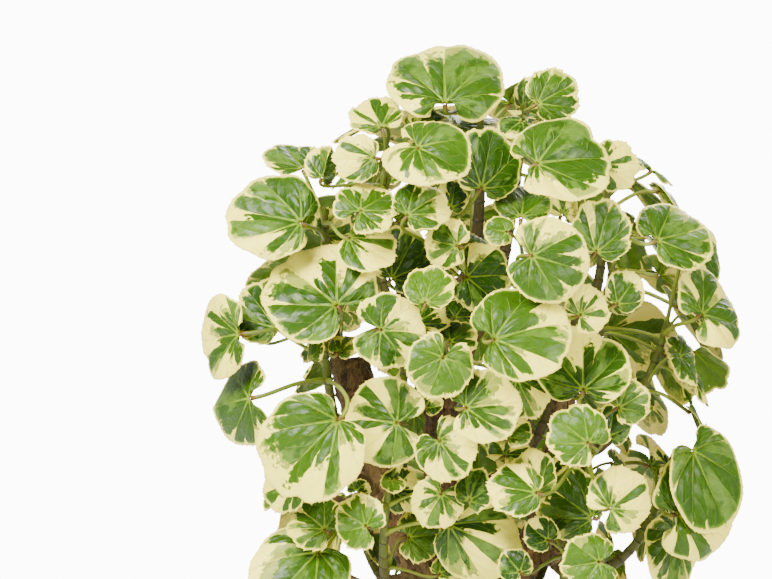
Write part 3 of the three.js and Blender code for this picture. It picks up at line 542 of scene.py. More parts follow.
BRANCH_COLUMNS = 16
BRANCH_SEED = 400
LIMB_COLUMNS = 44
LIMB_END_SHARE = 0.82
LIMB_END_DOME = 1.2
BARK_STEP = 2.2
BARK_SEED = 47
BARK_WAVES = ((0.085, 42), (0.045, 15), (0.035, 5.5))
KNOTS_ON_A_LIMB = 7
KNOT_PLACES = (0.08, 0.95)
KNOT_WIDTHS = (4.5, 8.5)
KNOT_HEIGHTS = (1.6, 3.6)
KNOT_DENT = 0.75
RIDGE_PITCH = 10.5
RIDGE_PLACE = 5.2
RIDGE_WIDTH = 0.9
RIDGE_SHARE = 0.055
RIDGE_WOBBLE = (1.4, 30)
BARK_DARK = (66, 45, 20)
BARK_PALE = (98, 78, 38)
BARK_FIBRE = (136, 108, 62)
BARK_GREEN = (88, 85, 34)
BARK_CRUMB = (62, 38, 20)
# Bark in the furrows, made near black at their bottom as painted shade
BARK_FURROW_SHADE = (34, 20, 10)
LIMB_RIDGE = (150, 116, 72)
BRANCH_RIDGE = (132, 118, 66)
BRANCH_BROWN = (60, 50, 22)


def unit(vector):
    return vector / np.linalg.norm(vector, axis=-1, keepdims=True)


def smooth_rows(rows, spacing):
    """Rows of numbers every few millimetres on a smooth curve through the given rows: between two
    rows it is the cubic whose slope at each row is half the step between that row's neighbours."""
    rows = np.array(rows, float)
    length = np.linalg.norm(np.diff(rows[:, :3], axis=0), axis=1).sum()
    place = np.linspace(0, len(rows) - 1, max(4, round(length / spacing)) + 1)
    lower = np.minimum(place.astype(int), len(rows) - 2)
    t = (place - lower)[:, None]
    padded = np.concatenate([2 * rows[:1] - rows[1:2], rows, 2 * rows[-1:] - rows[-2:-1]])
    before, here, there, after = (padded[lower + k] for k in range(4))
    slope_here, slope_there = (there - before) / 2, (after - here) / 2
    return (here * (2 * t ** 3 - 3 * t ** 2 + 1) + slope_here * (t ** 3 - 2 * t ** 2 + t)
            + there * (3 * t ** 2 - 2 * t ** 3) + slope_there * (t ** 3 - t ** 2))


def lengths_along(path):
    """Distance in millimetres along a path to each of its points."""
    return np.append(0, np.cumsum(np.linalg.norm(np.diff(path, axis=0), axis=1)))


def tube(path, radius, end_dome=0.0):
    """A solid round a path. Each row of radii is a ring round one point and square to the path:
    point + radius (cos(angle) top + sin(angle) side), where side is direction x (chord x axis),
    top is side x direction, and the axis is the one that the path's chord runs along least. The
    poles stand off the ends by end_dome."""
    chord = path[-1] - path[0]
    axis = np.eye(3)[np.argmin(np.abs(chord))]
    direction = unit(np.gradient(path, axis=0))
    side = unit(np.cross(direction, np.cross(chord, axis)))
    top = np.cross(side, direction)
    angle = np.linspace(0, 2 * math.pi, radius.shape[1], endpoint=False)[:, None]
    rings = path[:, None] + radius[:, :, None] * (
        np.cos(angle) * top[:, None] + np.sin(angle) * side[:, None])
    poles = [path[0] - end_dome * direction[0], path[-1] + end_dome * direction[-1]]
    points = np.concatenate([rings.reshape(-1, 3), poles])
    return points, capped(*radius.shape)


def bark_relief(path, radius, seed, knots):
    """Radii of a gnarled limb: waves, each given by its share of the radius and its length, then
    knots as raised rings with a dent in them, and the narrow ridges that fallen leaves left round
    it. Also how near each point is to a ridge."""
    dice = np.random.default_rng(seed)
    columns = radius.shape[1]
    angle = np.linspace(0, 2 * math.pi, columns, endpoint=False)
    along = lengths_along(path)[:, None]
    mean = radius.mean()
    spot = np.stack(np.broadcast_arrays(mean * np.cos(angle), mean * np.sin(angle), along), axis=-1)
    swell, bump, rough = (share * waves(spot, length, seed + number)
                          for number, (share, length) in enumerate(BARK_WAVES))
    shape = radius * (1 + swell + bump) + mean * rough
    for _ in range(knots):
        place, heading = dice.uniform(*KNOT_PLACES) * along[-1, 0], dice.uniform(0, 2 * math.pi)
        width = dice.uniform(*KNOT_WIDTHS)
        sideways = mean * np.abs((angle - heading + math.pi) % (2 * math.pi) - math.pi)
        apart = np.hypot(along - place, sideways) / width
        dent = KNOT_DENT * np.exp(-6 * apart ** 2)
        shape += dice.uniform(*KNOT_HEIGHTS) * np.exp(-apart ** 2) * (1 - dent)
    wobble_height, wobble_length = RIDGE_WOBBLE
    wobble = wobble_height * waves(spot, wobble_length, seed + len(BARK_WAVES))
    off_ridge = np.mod(along + wobble, RIDGE_PITCH) - RIDGE_PLACE
    ridge = np.exp(-(off_ridge / RIDGE_WIDTH) ** 2)
    return shape + RIDGE_SHARE * mean * ridge, ridge


def bark_habit(ridge, stoutness, count):
    """What the bark's colour reads at each point: nearness to a ridge, and 1 on the stout limbs
    or 0 on the thin branches."""
    stout = np.full_like(ridge, stoutness)
    habit = np.stack([ridge, stout, 0 * ridge], axis=-1).reshape(-1, 3)
    return np.concatenate([habit, np.repeat(habit[-1:], count - len(habit), axis=0)])


def limb_solid(rows, seed):
    """A limb with its bark. Its last section is a slightly domed cut, grown over at the edge."""
    curve = smooth_rows(rows, BARK_STEP)
    path, radius = curve[:, :3], np.repeat(curve[:, 3:], LIMB_COLUMNS, axis=1)
    radius, ridge = bark_relief(path, radius, seed, KNOTS_ON_A_LIMB)
    radius[-1] *= LIMB_END_SHARE
    points, faces = tube(path, radius, LIMB_END_DOME)
    return points, faces, bark_habit(ridge, 1.0, len(points))


def branch_path(shoot):
    """The woody branch under a shoot: the curve foot (1-t)^2 + bend 2t(1-t) + neck t^2, then a
    short straight run that ends square to the shoot."""
    foot, base, pull, _ = shoot
    start = unit(pull - base)
    neck = base - BRANCH_STRAIGHT * start
    bend = neck - BRANCH_BEND * np.linalg.norm(base - foot) * start
    t = np.linspace(0, 1, max(6, round(np.linalg.norm(neck - foot) / BARK_STEP)))[:, None]
    curve = foot * (1 - t) ** 2 + bend * 2 * t * (1 - t) + neck * t ** 2
    return np.concatenate([curve, neck + np.outer(BRANCH_STRAIGHT_STEPS, start)])


def branch_solid(shoot, seed):
    """A thin branch: it flares into its limb as exp(-along / length), and has lengthwise furrows,
    one knot and a ridge every centimetre or so."""
    path = branch_path(shoot)
    along = lengths_along(path)
    plain = np.interp(along, along[-1] * np.array(BRANCH_RADII_PLACES), BRANCH_RADII)
    plain = plain + BRANCH_FLARE * np.exp(-along / BRANCH_FLARE_LENGTH)
    angle = np.linspace(0, 2 * math.pi, BRANCH_COLUMNS, endpoint=False)
    furrows = np.sin(BRANCH_FURROWS * angle + BRANCH_FURROW_TWIST * along[:, None])
    radius = plain[:, None] * (1 + BRANCH_FURROW_DEPTH * furrows)
    radius, ridge = bark_relief(path, radius, seed, 1)
    points, faces = tube(path, radius)
    return points, faces, bark_habit(ridge, 0.0, len(points))


def bark_finish():
    """Brown bark: long furrows run up the wood between rough plates that are dull brown to tan, with
    a tinge of green. The furrows are darker bark, near black at the bottom as painted shade. Thin
    branches are darker, with a pale line at each ridge."""
    finish = Finish("gnarled_bark")
    place = finish.place()
    ridge, stout, _ = finish.attribute("habit")
    drawn_out = finish.node("ShaderNodeVectorMath", {"operation": "MULTIPLY"},
                            {0: place, 1: (1, 1, 0.34)})[0]
    slow = finish.noise(place, 34.0, 4.0)
    furrows = finish.noise(drawn_out, 175.0, 6.0)
    fibres = finish.noise(drawn_out, 620.0, 3.0)
    crumbs = finish.noise(place, 480.0, 5.0)
    green_tinge = finish.noise(place, 60.0, 3.0).step(0.5, 0.7)
    furrow_and_shade = furrows.step(0.47, 0.38)
    colour = finish.mix(slow.step(0.35, 0.65), BARK_DARK, BARK_PALE)
    colour = finish.mix(fibres.step(0.4, 0.7) * 0.4, colour, BARK_FIBRE)
    colour = finish.mix(green_tinge * 0.4, colour, BARK_GREEN)
    colour = finish.mix(crumbs.step(0.5, 0.34) * 0.5, colour, BARK_CRUMB)
    # The furrows: darker bark, deepened towards near black by painted shade
    colour = finish.mix(furrow_and_shade * 0.8, colour, BARK_FURROW_SHADE)
    colour = finish.mix(ridge * stout * 0.25, colour, LIMB_RIDGE)
    colour = finish.mix(ridge * (1 - stout) * 0.4, colour, BRANCH_RIDGE)
    colour = finish.mix((1 - stout) * 0.4, colour, BRANCH_BROWN)
    height = furrows * 1.2 + crumbs * 0.35 + fibres * 0.25 - furrow_and_shade * 0.5
    return finish.surface(colour, furrow_and_shade * 0.12 + 0.7, height, 0.0021,
                          {"Specular IOR Level": 0.3})


wood_parts = [limb_solid(rows, BARK_SEED + 10 * k) for k, rows in enumerate(LIMBS)]
wood_parts += [branch_solid(shoot, BRANCH_SEED + 10 * k) for k, shoot in enumerate(SHOOTS)]
wood_points, wood_faces, wood_habit = joined(wood_parts)
wood = new_piece("woody_stem", wood_points, wood_faces, [bark_finish()],
                 attributes=[("habit", wood_habit)])
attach(wood, "root")
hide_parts("trunk")

# Layout of the leaves. The front ones were placed one by one, the others by the seeded rule of the
# solids: each blade is tried against all that is there, and slides or is dropped until it is clear.
CROWN_CENTRE_Z = 415
CROWN_SIDE = 196
CROWN_FRONT = 180
CROWN_UP = 222
CROWN_DOWN = 212
LAYER_STEP = 14
STALK_RADIUS = 1.35
STALK_END_DEPTH = 0.9
STALK_SHORTEST = 20
STALK_FOR_RADIUS = 0.8
BLADE_DROOP = -0.07
BLADE_WAVE = (0.03, 0.07)
OFFSET_SHARES = (0.14, 0.72)
WIDEST_SPREAD = 168
SPREAD_LOSS = 82
BLADE_CLEARANCE = 2.4
STALK_CLEARANCE = 1.4
RIM_SAMPLE_SPACING = 4.5
EDGE_SAMPLES = 5
EDGE_ROOM = 0.5
REACH_SPARE = 2
STEM_SAMPLE_SPACING = 4
STALK_ROOTS = (0.12, 0.25, 0.38, 0.5, 0.62, 0.74, 0.86, 0.97)
LOWEST_ROOT = 0.1
STALK_RISE = 0.35
LONGEST_MISS = 32
SLIDE_STEP = 4
SLIDE_COUNT = 22
SHOOT_BASE_RADIUS = 4.2
SHOOT_TIP_RADIUS = 2.4
# Each row: the stalk's joint and the blade's centre in the picture, the blade's diameter there,
# its turn to the right and up, its layer, its fold and its shoot, then how much of it is green
# and how yellow that green is, in hundredths.
FRONT_LEAVES = [
    [445, 104, 446, 80, 122, 0, 44, 0, 6, 3, 70, 40],
    [418, 149, 427, 153, 90, 0, 42, 0, 6, 1, 68, 50],
    [537, 164, 562, 160, 106, 8, 32, 0, 8, 5, 64, 40],
    [301, 223, 272, 216, 98, -8, 25, 0, 8, 14, 78, 40],
    [443, 358, 440, 365, 68, 0, 5, 0, 4, 8, 75, 70],
    [338, 420, 311, 448, 114, -10, 10, 0, 8, 2, 50, 50],
    [425, 303, 430, 286, 52, 0, 28, 0, 4, 6, 75, 85],
    [532, 256, 548, 260, 88, 10, 8, 0, 6, 7, 70, 45],
    [588, 443, 578, 435, 64, -5, 8, 0, 4, 10, 80, 70],
    [366, 526, 360, 522, 57, -25, 5, 0, 4, 11, 75, 70],
    [610, 508, 620, 500, 68, 10, 5, 0, 4, 10, 15, 45],
    [599, 562, 590, 563, 60, 5, 5, 0, 4, 13, 80, 75],
    [318, 553, 300, 572, 104, -5, 32, 0, 6, 12, 84, 40],
    [537, 104, 557, 92, 58, 15, 15, 0, 6, 4, 85, 45],
    [303, 169, 294, 157, 66, 0, 55, 0, 8, 14, 65, 35],
    [375, 158, 357, 158, 50, -5, 8, 0, 4, 1, 60, 45],
    [382, 128, 374, 111, 56, -5, 44, 0, 6, 1, 55, 40],
    [240, 334, 219, 338, 88, -52, 5, 0, 8, 2, 55, 40],
    [381, 330, 388, 331, 78, 12, 5, 1, 8, 8, 50, 35],
    [494, 340, 521, 334, 106, 5, 25, 1, 8, 7, 75, 55],
    [407, 216, 422, 205, 60, 5, 28, 1, 6, 6, 75, 35],
    [361, 211, 366, 207, 66, 0, 40, 1, 6, 1, 70, 50],
    [596, 252, 603, 230, 66, 18, 8, 1, 8, 5, 60, 40],
    [322, 178, 327, 162, 42, 30, 10, 1, -28, 1, 80, 30],
    [523, 107, 524, 91, 36, -28, 10, 1, -28, 4, 50, 40],
    [414, 131, 433, 122, 50, 5, 40, 1, 6, 1, 70, 50],
    [457, 128, 487, 119, 62, 10, 66, 1, 6, 3, 80, 40],
    [537, 493, 510, 488, 58, 0, 20, 1, 6, 10, 65, 45],
    [250, 398, 230, 403, 96, -52, 5, 1, -24, 2, 80, 40],
    [580, 315, 588, 309, 50, 20, 5, 1, 6, 7, 20, 45],
    [337, 306, 319, 290, 120, -12, 28, 2, 6, 2, 68, 35],
    [457, 246, 447, 243, 52, -30, 5, 2, 6, 6, 35, 45],
    [481, 188, 488, 163, 76, 22, 5, 2, 8, 3, 80, 20],
    [466, 408, 484, 406, 78, 8, 14, 2, 6, 9, 60, 35],
    [583, 390, 584, 367, 100, 5, 34, 2, 8, 7, 70, 20],
    [600, 166, 615, 165, 54, 15, 5, 2, 6, 5, 20, 45],
    [507, 232, 500, 231, 32, 0, 20, 2, 4, 3, 80, 85],
    [593, 518, 570, 503, 76, -20, 5, 2, 8, 10, 90, 30],
    [537, 491, 534, 469, 50, 0, 8, 2, -22, 10, 60, 45],
    [618, 408, 630, 402, 46, 15, 5, 2, 6, 10, 60, 45],
    [522, 122, 514, 127, 34, 0, 48, 2, 4, 4, 75, 20],
    [296, 480, 284, 485, 58, -28, 5, 2, 6, 12, 30, 45],
    [325, 530, 316, 523, 62, -10, 35, 2, 6, 12, 65, 50],
    [617, 304, 632, 281, 44, 20, 5, 2, 6, 5, 60, 45],
    [325, 236, 333, 225, 40, 5, 5, 3, 4, 14, 60, 45],
    [349, 238, 368, 248, 60, 0, 35, 3, 6, 14, 50, 45],
    [277, 328, 258, 306, 68, -18, 12, 3, 6, 2, 60, 20],
    [440, 441, 446, 449, 66, -22, 5, 3, 6, 9, 50, 40],
    [466, 277, 481, 277, 70, 20, 5, 3, 6, 6, 65, 15],
    [562, 215, 566, 200, 48, 35, 5, 3, 6, 5, 15, 45],
    [521, 218, 524, 203, 60, 0, 42, 3, 6, 4, 75, 40],
    [470, 500, 474, 490, 46, -38, 5, 3, 6, 9, 85, 20],
    [508, 438, 515, 432, 36, 0, 32, 3, 6, 9, 60, 40],
    [608, 436, 611, 425, 44, 10, 5, 3, 6, 10, 85, 20],
    [311, 358, 311, 349, 30, -52, 5, 3, -20, 2, 70, 50],
    [548, 540, 541, 534, 36, -10, 5, 3, 6, 13, 70, 15],
    [520, 572, 515, 566, 36, -10, 5, 3, 6, 13, 70, 15],
    [450, 208, 453, 196, 36, 30, 5, 3, 6, 3, 70, 15],
    [441, 494, 437, 502, 54, -8, 5, 4, 6, 11, 30, 45],
    [397, 423, 385, 422, 92, -22, 5, 4, 6, 8, 35, 40],
    [391, 279, 404, 257, 68, 22, 5, 4, 6, 6, 80, 15],
    [516, 378, 528, 399, 52, 12, 5, 4, 6, 7, 60, 35],
    [338, 352, 344, 346, 32, 0, 40, 4, 4, 2, 80, 85],
    [425, 408, 429, 401, 30, 10, 10, 4, 4, 8, 70, 15],
    [415, 325, 425, 318, 50, 0, 42, 4, 6, 6, 75, 20],
    [450, 342, 458, 337, 42, 0, 38, 4, 6, 9, 75, 30],
    [455, 318, 460, 312, 36, 0, 40, 4, 6, 7, 75, 20],
    [463, 246, 475, 243, 36, 10, 58, 4, 4, 3, 75, 30],
    [505, 455, 509, 449, 44, 0, 30, 4, 6, 9, 25, 45],
    [565, 470, 561, 465, 28, -10, 10, 4, 4, 10, 75, 15],
    [262, 337, 260, 326, 40, -10, 45, 4, 4, 2, 25, 45],
    [356, 492, 359, 489, 24, 0, 38, 4, 4, 11, 75, 15],
    [393, 490, 401, 490, 48, 22, 5, 5, 6, 11, 70, 20],
    [449, 525, 490, 543, 92, 5, 10, 4, -24, 11, 70, 15],
    [408, 537, 419, 537, 54, 30, 5, 5, 6, 11, 75, 70],
    [440, 574, 446, 570, 30, 0, 20, 5, 4, 13, 60, 40],
]
# Rows whose cream lies to one side: that side of the picture, in degrees from the right towards
# the top, and how much less green it is there.
PALE_SIDES = {
    0: (190, 0.22), 1: (205, 0.34), 2: (225, 0.36), 3: (250, 0.3), 5: (350, 0.34), 7: (60, 0.3),
    12: (150, 0.24), 15: (120, 0.45), 16: (90, 0.45), 17: (180, 0.25), 18: (60, 0.3), 19: (0, 0.36),
    20: (20, 0.3), 22: (180, 0.25), 27: (90, 0.3), 30: (105, 0.36), 33: (330, 0.32),
    34: (50, 0.32), 45: (315, 0.3), 47: (0, 0.3), 59: (150, 0.2), 73: (10, 0.4),
}
SEED = 20417
TIP_ATTEMPTS = 24
TIP_RADII = (8, 13)
TIP_DISTANCES = (10, 18)
TIP_RISES = (4, 20)
TIP_OFFSET = 0.5
TIP_FOLD = 10
TIP_GREEN = 0.7
TIP_YELLOW = 0.85
TIP_LOWEST_ROOT = 0.9
RULE_LEAVES = 98
RULE_ATTEMPTS = 6000
RULE_SMALLEST = 13
RULE_LARGEST = 41
RULE_SIZES = (0.82, 1.12)
RULE_OUTSIDE = 0.97
RULE_DEPTH = 0.4
RULE_HEIGHTS = (-0.97, 0.96)
RULE_OFFSETS = (0.2, 0.6)
RULE_SWAY = 0.9
RULE_HANG = (-0.9, 0.5)
RULE_TURN = 0.3
RULE_NOD = (-0.2, 0.3)
RULE_FOLDS = (2, 12)
TABLE_RIGHT_X = 105
TABLE_LOWEST_Z = 262
TABLE_BACK_Y = -8
GAP_X = (-152, -124)
GAP_Z = (394, 428)
LEFT_SIDE = -0.85
LEFT_INSET = 0.7
CROWN_OUTLINE = 0.98


def seeded_numbers(state):
    """Numbers from 0 to 1 without end, each from the last by state * 1664525 + 1013904223."""
    while True:
        state = (state * 1664525 + 1013904223) % 4294967296
        yield state / 4294967296


numbers = seeded_numbers(SEED)


def between(low, high):
    return low + (high - low) * next(numbers)


def along_shoot(shoot, t):
    """Points on a shoot's curve: base (1-t)^2 + pull 2t(1-t) + tip t^2."""
    t = np.asarray(t)[..., None]
    return shoot[1] * (1 - t) ** 2 + shoot[2] * 2 * t * (1 - t) + shoot[3] * t ** 2


def rim_reach(leaf, angle):
    """Distance from the joint to the rim at angles from the midrib: the rim is a circle whose
    centre lies off the joint by the offset."""
    across = leaf["offset"] * np.sin(angle)
    return leaf["offset"] * np.cos(angle) + np.sqrt(leaf["radius"] ** 2 - across ** 2)


def rise(leaf, angle):
    """Rise of a blade for each millimetre from the joint: fold, droop and a slow wave."""
    wave = leaf["wave"] * np.cos(3 * angle + leaf["phase"])
    return np.abs(np.sin(angle)) * leaf["fold_sin"] + BLADE_DROOP + wave


def blade_points(leaf, angle, reach):
    """Points on one blade at angles and distances from its joint."""
    flat = (reach * np.cos(angle))[..., None] * leaf["along"]
    wide = (reach * np.sin(angle) * leaf["fold_cos"])[..., None] * leaf["across"]
    return leaf["joint"] + flat + wide + (reach * rise(leaf, angle))[..., None] * leaf["normal"]


def make_leaf(joint, normal, midrib, radius, offset, fold, wave, phase):
    along = unit(midrib - midrib.dot(normal) * normal)
    share = min(max(offset / radius, OFFSET_SHARES[0]), OFFSET_SHARES[1])
    leaf = {
        "joint": joint, "normal": normal, "along": along, "across": np.cross(normal, along),
        "radius": radius, "offset": share * radius, "wave": wave, "phase": phase,
        "spread": math.radians(WIDEST_SPREAD - SPREAD_LOSS * share ** 1.6),
        "fold_sin": math.sin(math.radians(fold)), "fold_cos": math.cos(math.radians(fold)),
    }
    rim_length = 2 * leaf["spread"] * (radius + 0.3 * leaf["offset"])
    count = math.ceil(rim_length / RIM_SAMPLE_SPACING)
    angle = leaf["spread"] * (2 * np.arange(count + 1) / count - 1)
    rim = blade_points(leaf, angle, rim_reach(leaf, angle))
    notch = rim_reach(leaf, leaf["spread"]) * np.arange(EDGE_SAMPLES + 1) / EDGE_SAMPLES
    sides = [blade_points(leaf, np.full(len(notch), side * leaf["spread"]), notch)
             for side in (-1, 1)]
    leaf["samples"] = np.concatenate([rim, *sides])
    return leaf


def stalk_points(leaf, root, t):
    """Points on a stalk at shares t of its cubic curve, which leaves the shoot upwards and comes
    to the blade from behind."""
    end = leaf["joint"] - STALK_END_DEPTH * leaf["normal"]
    length = np.linalg.norm(end - root)
    start = unit(unit(end - root) + [0, 0, STALK_RISE])
    arrival = unit(0.8 * leaf["along"] + 0.45 * leaf["normal"])
    t = t[:, None]
    return (root * (1 - t) ** 3 + (root + 0.4 * length * start) * 3 * (1 - t) ** 2 * t
            + (end - 0.3 * length * arrival) * 3 * (1 - t) * t ** 2 + end * t ** 3)


def shares_for(length):
    """Even shares from 0 to 1 that sample a stem of that length every few millimetres."""
    count = max(2, math.ceil(length / STEM_SAMPLE_SPACING))
    return np.arange(count + 1) / count


stems = {"at": [], "radius": [], "shoot": []}
leaves = []
blades = {}
tried = {"rim": np.empty((0, 3)), "stalk": np.empty((0, 3)), "shoot": np.empty(0)}


def add_stem(points, radius, shoot):
    stems["at"].append(points)
    stems["radius"].append(radius)
    stems["shoot"].append(np.full(len(points), shoot))


def add_polyline(points, radii):
    for start, end, near, far in zip(points[:-1], points[1:], radii[:-1], radii[1:]):
        share = shares_for(np.linalg.norm(end - start))
        add_stem(start + (end - start) * share[:, None], near + (far - near) * share, -1)


BLADE_KEYS = ("joint", "normal", "along", "across", "radius", "offset", "spread", "fold_sin",
              "fold_cos", "wave", "phase")


def as_rows(group):
    """The blades of several leaves as one set of arrays, a row for each leaf."""
    return {key: np.array([leaf[key] for leaf in group]).reshape(len(group), -1)
            for key in BLADE_KEYS}


def touches(rows, points, room):
    """True if any of the points comes nearer to any of the blades than its room: it is tested by
    its distance from the joint, then by its place within the rim, then by its height over it."""
    apart = points[None] - rows["joint"][:, None]
    along_rib = np.einsum("bpi,bi->bp", apart, rows["along"])
    across_rib = np.einsum("bpi,bi->bp", apart, rows["across"]) / rows["fold_cos"]
    lift = np.einsum("bpi,bi->bp", apart, rows["normal"])
    angle = np.arctan2(across_rib, along_rib)
    reach = np.hypot(along_rib, across_rib)
    rim = rim_reach(rows, np.minimum(np.abs(angle), rows["spread"]))
    near = np.linalg.norm(apart, axis=-1) <= rows["radius"] + rows["offset"] + room + REACH_SPARE
    return (near & (reach <= rim + room) & (np.abs(lift - reach * rise(rows, angle)) < room)).any()


def blade_is_clear(leaf):
    own = as_rows([leaf])
    if touches(own, stems["at"], stems["radius"] + STALK_CLEARANCE):
        return False
    if not leaves:
        return True
    return not (touches(own, tried["rim"], EDGE_ROOM + BLADE_CLEARANCE)
                or touches(own, tried["stalk"], STALK_RADIUS + STALK_CLEARANCE)
                or touches(blades, leaf["samples"], EDGE_ROOM + BLADE_CLEARANCE))


def too_near(points, others, room):
    return (np.linalg.norm(points[:, None] - others[None], axis=-1) < room).any()


def stalk_is_clear(points, shoot):
    room = STALK_RADIUS + STALK_CLEARANCE
    foreign = stems["shoot"] != shoot
    if too_near(points, stems["at"][foreign], stems["radius"][foreign] + room):
        return False
    if leaves and touches(blades, points, room):
        return False
    return not too_near(points, tried["stalk"][tried["shoot"] != shoot], STALK_RADIUS + room)


def stalk_misses(leaf, roots):
    """How far stalks from these roots are from the length that suits the leaf."""
    wanted = STALK_SHORTEST + STALK_FOR_RADIUS * leaf["radius"]
    return np.abs(np.linalg.norm(roots - leaf["joint"], axis=-1) - wanted)


def nearest_shoots(leaf):
    misses = [stalk_misses(leaf, along_shoot(shoot, STALK_ROOTS)).min() for shoot in SHOOTS]
    return np.argsort(misses, kind="stable").tolist()


def settle(leaf, shoots, lowest):
    """Adds the leaf if its blade is clear and a root on one of the shoots gives a clear stalk."""
    if not blade_is_clear(leaf):
        return False
    for shoot in shoots:
        roots = along_shoot(SHOOTS[shoot], [t for t in STALK_ROOTS if t >= lowest])
        misses = stalk_misses(leaf, roots)
        for number in np.argsort(misses, kind="stable"):
            share = shares_for(np.linalg.norm(roots[number] - leaf["joint"]))
            points = stalk_points(leaf, roots[number], share)
            if misses[number] >= LONGEST_MISS or not stalk_is_clear(points, shoot):
                continue
            leaf.update(root=roots[number], shoot=shoot)
            leaves.append(leaf)
            blades.update(as_rows(leaves))
            tried["rim"] = np.concatenate([tried["rim"], leaf["samples"]])
            tried["stalk"] = np.concatenate([tried["stalk"], points])
            tried["shoot"] = np.append(tried["shoot"], np.full(len(points), shoot))
            return True
    return False


def picture_point(x, y, depth):
    """Where the camera's line through a point of the picture meets the plane y = depth."""
    scale = MM_PER_PIXEL * (VIEW_DISTANCE + depth) / VIEW_DISTANCE
    return np.array([PICTURE_CENTRE_X + (x - PICTURE_CENTRE[0]) * scale, depth,
                     PICTURE_CENTRE_Z - (y - PICTURE_CENTRE[1]) * scale])


def crown_front(point):
    """Depth of the crown's front over a point: the near side of an ellipsoid."""
    above = point[2] - CROWN_CENTRE_Z
    share = (point[0] / CROWN_SIDE) ** 2 + (above / (CROWN_UP if above > 0 else CROWN_DOWN)) ** 2
    return -CROWN_FRONT * math.sqrt(max(0.03, 1 - share))


def place_front_leaf(number, row):
    """A leaf of the table, at its layer in depth or as little behind it as is clear."""
    joint_x, joint_y, x, y, diameter, turn, tilt, layer, fold, shoot, green, yellow = row
    wave, phase = between(*BLADE_WAVE), between(0, 2 * math.pi)
    front = crown_front(picture_point(x, y, -0.6 * CROWN_FRONT))
    turn, tilt = math.radians(turn), math.radians(tilt)
    normal = np.array([math.sin(turn) * math.cos(tilt), -math.cos(turn) * math.cos(tilt),
                       math.sin(tilt)])
    for slide in range(SLIDE_COUNT):
        depth = front + layer * LAYER_STEP + slide * SLIDE_STEP
        scale = MM_PER_PIXEL * (VIEW_DISTANCE + depth) / VIEW_DISTANCE
        joint = picture_point(joint_x, joint_y, depth)
        midrib = picture_point(x, y, depth) - joint
        midrib[1] = -(midrib[0] * normal[0] + midrib[2] * normal[2]) / normal[1]
        leaf = make_leaf(joint, normal, midrib, scale * diameter / 2, np.linalg.norm(midrib),
                         fold, wave, phase)
        leaf.update(green=green / 100, yellow=yellow / 100)
        if number in PALE_SIDES:
            side, pale = PALE_SIDES[number]
            leaf["pale"] = math.radians(side) - math.atan2(joint_y - y, x - joint_x), pale
        if settle(leaf, [shoot - 1, *nearest_shoots(leaf)[:3]], LOWEST_ROOT):
            return


def place_tip_leaf(number):
    """A young leaf at a shoot's tip."""
    wave, phase = between(*BLADE_WAVE), between(0, 2 * math.pi)
    for _ in range(TIP_ATTEMPTS):
        heading, radius = between(0, 2 * math.pi), between(*TIP_RADII)
        outward = np.array([math.cos(heading), math.sin(heading), 0])
        joint = SHOOTS[number][3] + outward * between(*TIP_DISTANCES)
        joint[2] += between(*TIP_RISES)
        normal = unit(0.7 * outward + [0, 0, 0.8])
        leaf = make_leaf(joint, normal, outward, radius, TIP_OFFSET * radius, TIP_FOLD, wave, phase)
        leaf.update(green=TIP_GREEN, yellow=TIP_YELLOW)
        if settle(leaf, [number], TIP_LOWEST_ROOT):
            return


def place_rule_leaf(progress):
    """One try of the rule: a blade on the crown's shell that faces outwards and a little up. The
    rule starts with large blades outside and goes on to small ones further in. A blade's colours
    follow from its wave and fold, because a draw of their own would shift all later leaves."""
    height, heading = between(*RULE_HEIGHTS), between(-math.pi, math.pi)
    shell = between(RULE_OUTSIDE - RULE_DEPTH * progress, RULE_OUTSIDE)
    usual = RULE_LARGEST + (RULE_SMALLEST - RULE_LARGEST) * progress ** 0.75
    radius = usual * between(*RULE_SIZES)
    offset = between(*RULE_OFFSETS) * radius
    sway, hang = between(-RULE_SWAY, RULE_SWAY), between(*RULE_HANG)
    jitter = np.array([between(-RULE_TURN, RULE_TURN), between(-RULE_TURN, RULE_TURN),
                       between(*RULE_NOD)])
    wave, phase, fold = between(*BLADE_WAVE), between(0, 2 * math.pi), between(*RULE_FOLDS)
    level = math.sqrt(1 - height * height)
    out = np.array([level * math.cos(heading), level * math.sin(heading), height])
    inset = LEFT_INSET * shell if math.cos(heading) < LEFT_SIDE else shell
    centre = np.array([CROWN_SIDE * out[0] * inset, CROWN_FRONT * out[1] * inset,
                       CROWN_CENTRE_Z + (CROWN_UP if height > 0 else CROWN_DOWN) * height * shell])
    # None among the leaves of the table, and none across the gap on the left
    near_table = centre[0] - radius < TABLE_RIGHT_X and centre[2] + radius > TABLE_LOWEST_Z
    if near_table and centre[1] - 0.6 * radius < TABLE_BACK_Y:
        return False
    # Towards the front the blades look more at the viewer
    forward = 0.5 * max(0, 0.6 - out[1])
    normal = unit(np.array([0.9 * out[0], 0.9 * out[1] - forward, 0.45 * height + 0.42]) + jitter)
    wide = radius * math.sqrt(1 - normal[0] ** 2)
    in_gap_x = centre[0] + wide > GAP_X[0] and centre[0] - wide < GAP_X[1]
    if in_gap_x and centre[2] + radius > GAP_Z[0] and centre[2] - radius < GAP_Z[1]:
        return False
    # None outside the crown's outline in its upper half
    reach_x = (abs(centre[0]) + 0.8 * wide) / CROWN_SIDE
    reach_z = (centre[2] - CROWN_CENTRE_Z + 0.5 * radius) / CROWN_UP
    if centre[2] > CROWN_CENTRE_Z and reach_x ** 2 + reach_z ** 2 > CROWN_OUTLINE:
        return False
    midrib = 0.5 * out + [-sway * math.sin(heading), sway * math.cos(heading), hang]
    rib = unit(midrib - midrib.dot(normal) * normal)
    leaf = make_leaf(centre - offset * rib, normal, rib, radius, offset, fold, wave, phase)
    leaf.update(green=0.35 + 0.5 * (7 * wave / BLADE_WAVE[0] % 1),
                yellow=0.15 + 0.5 * fold / RULE_FOLDS[1])
    return settle(leaf, nearest_shoots(leaf)[:4], LOWEST_ROOT)


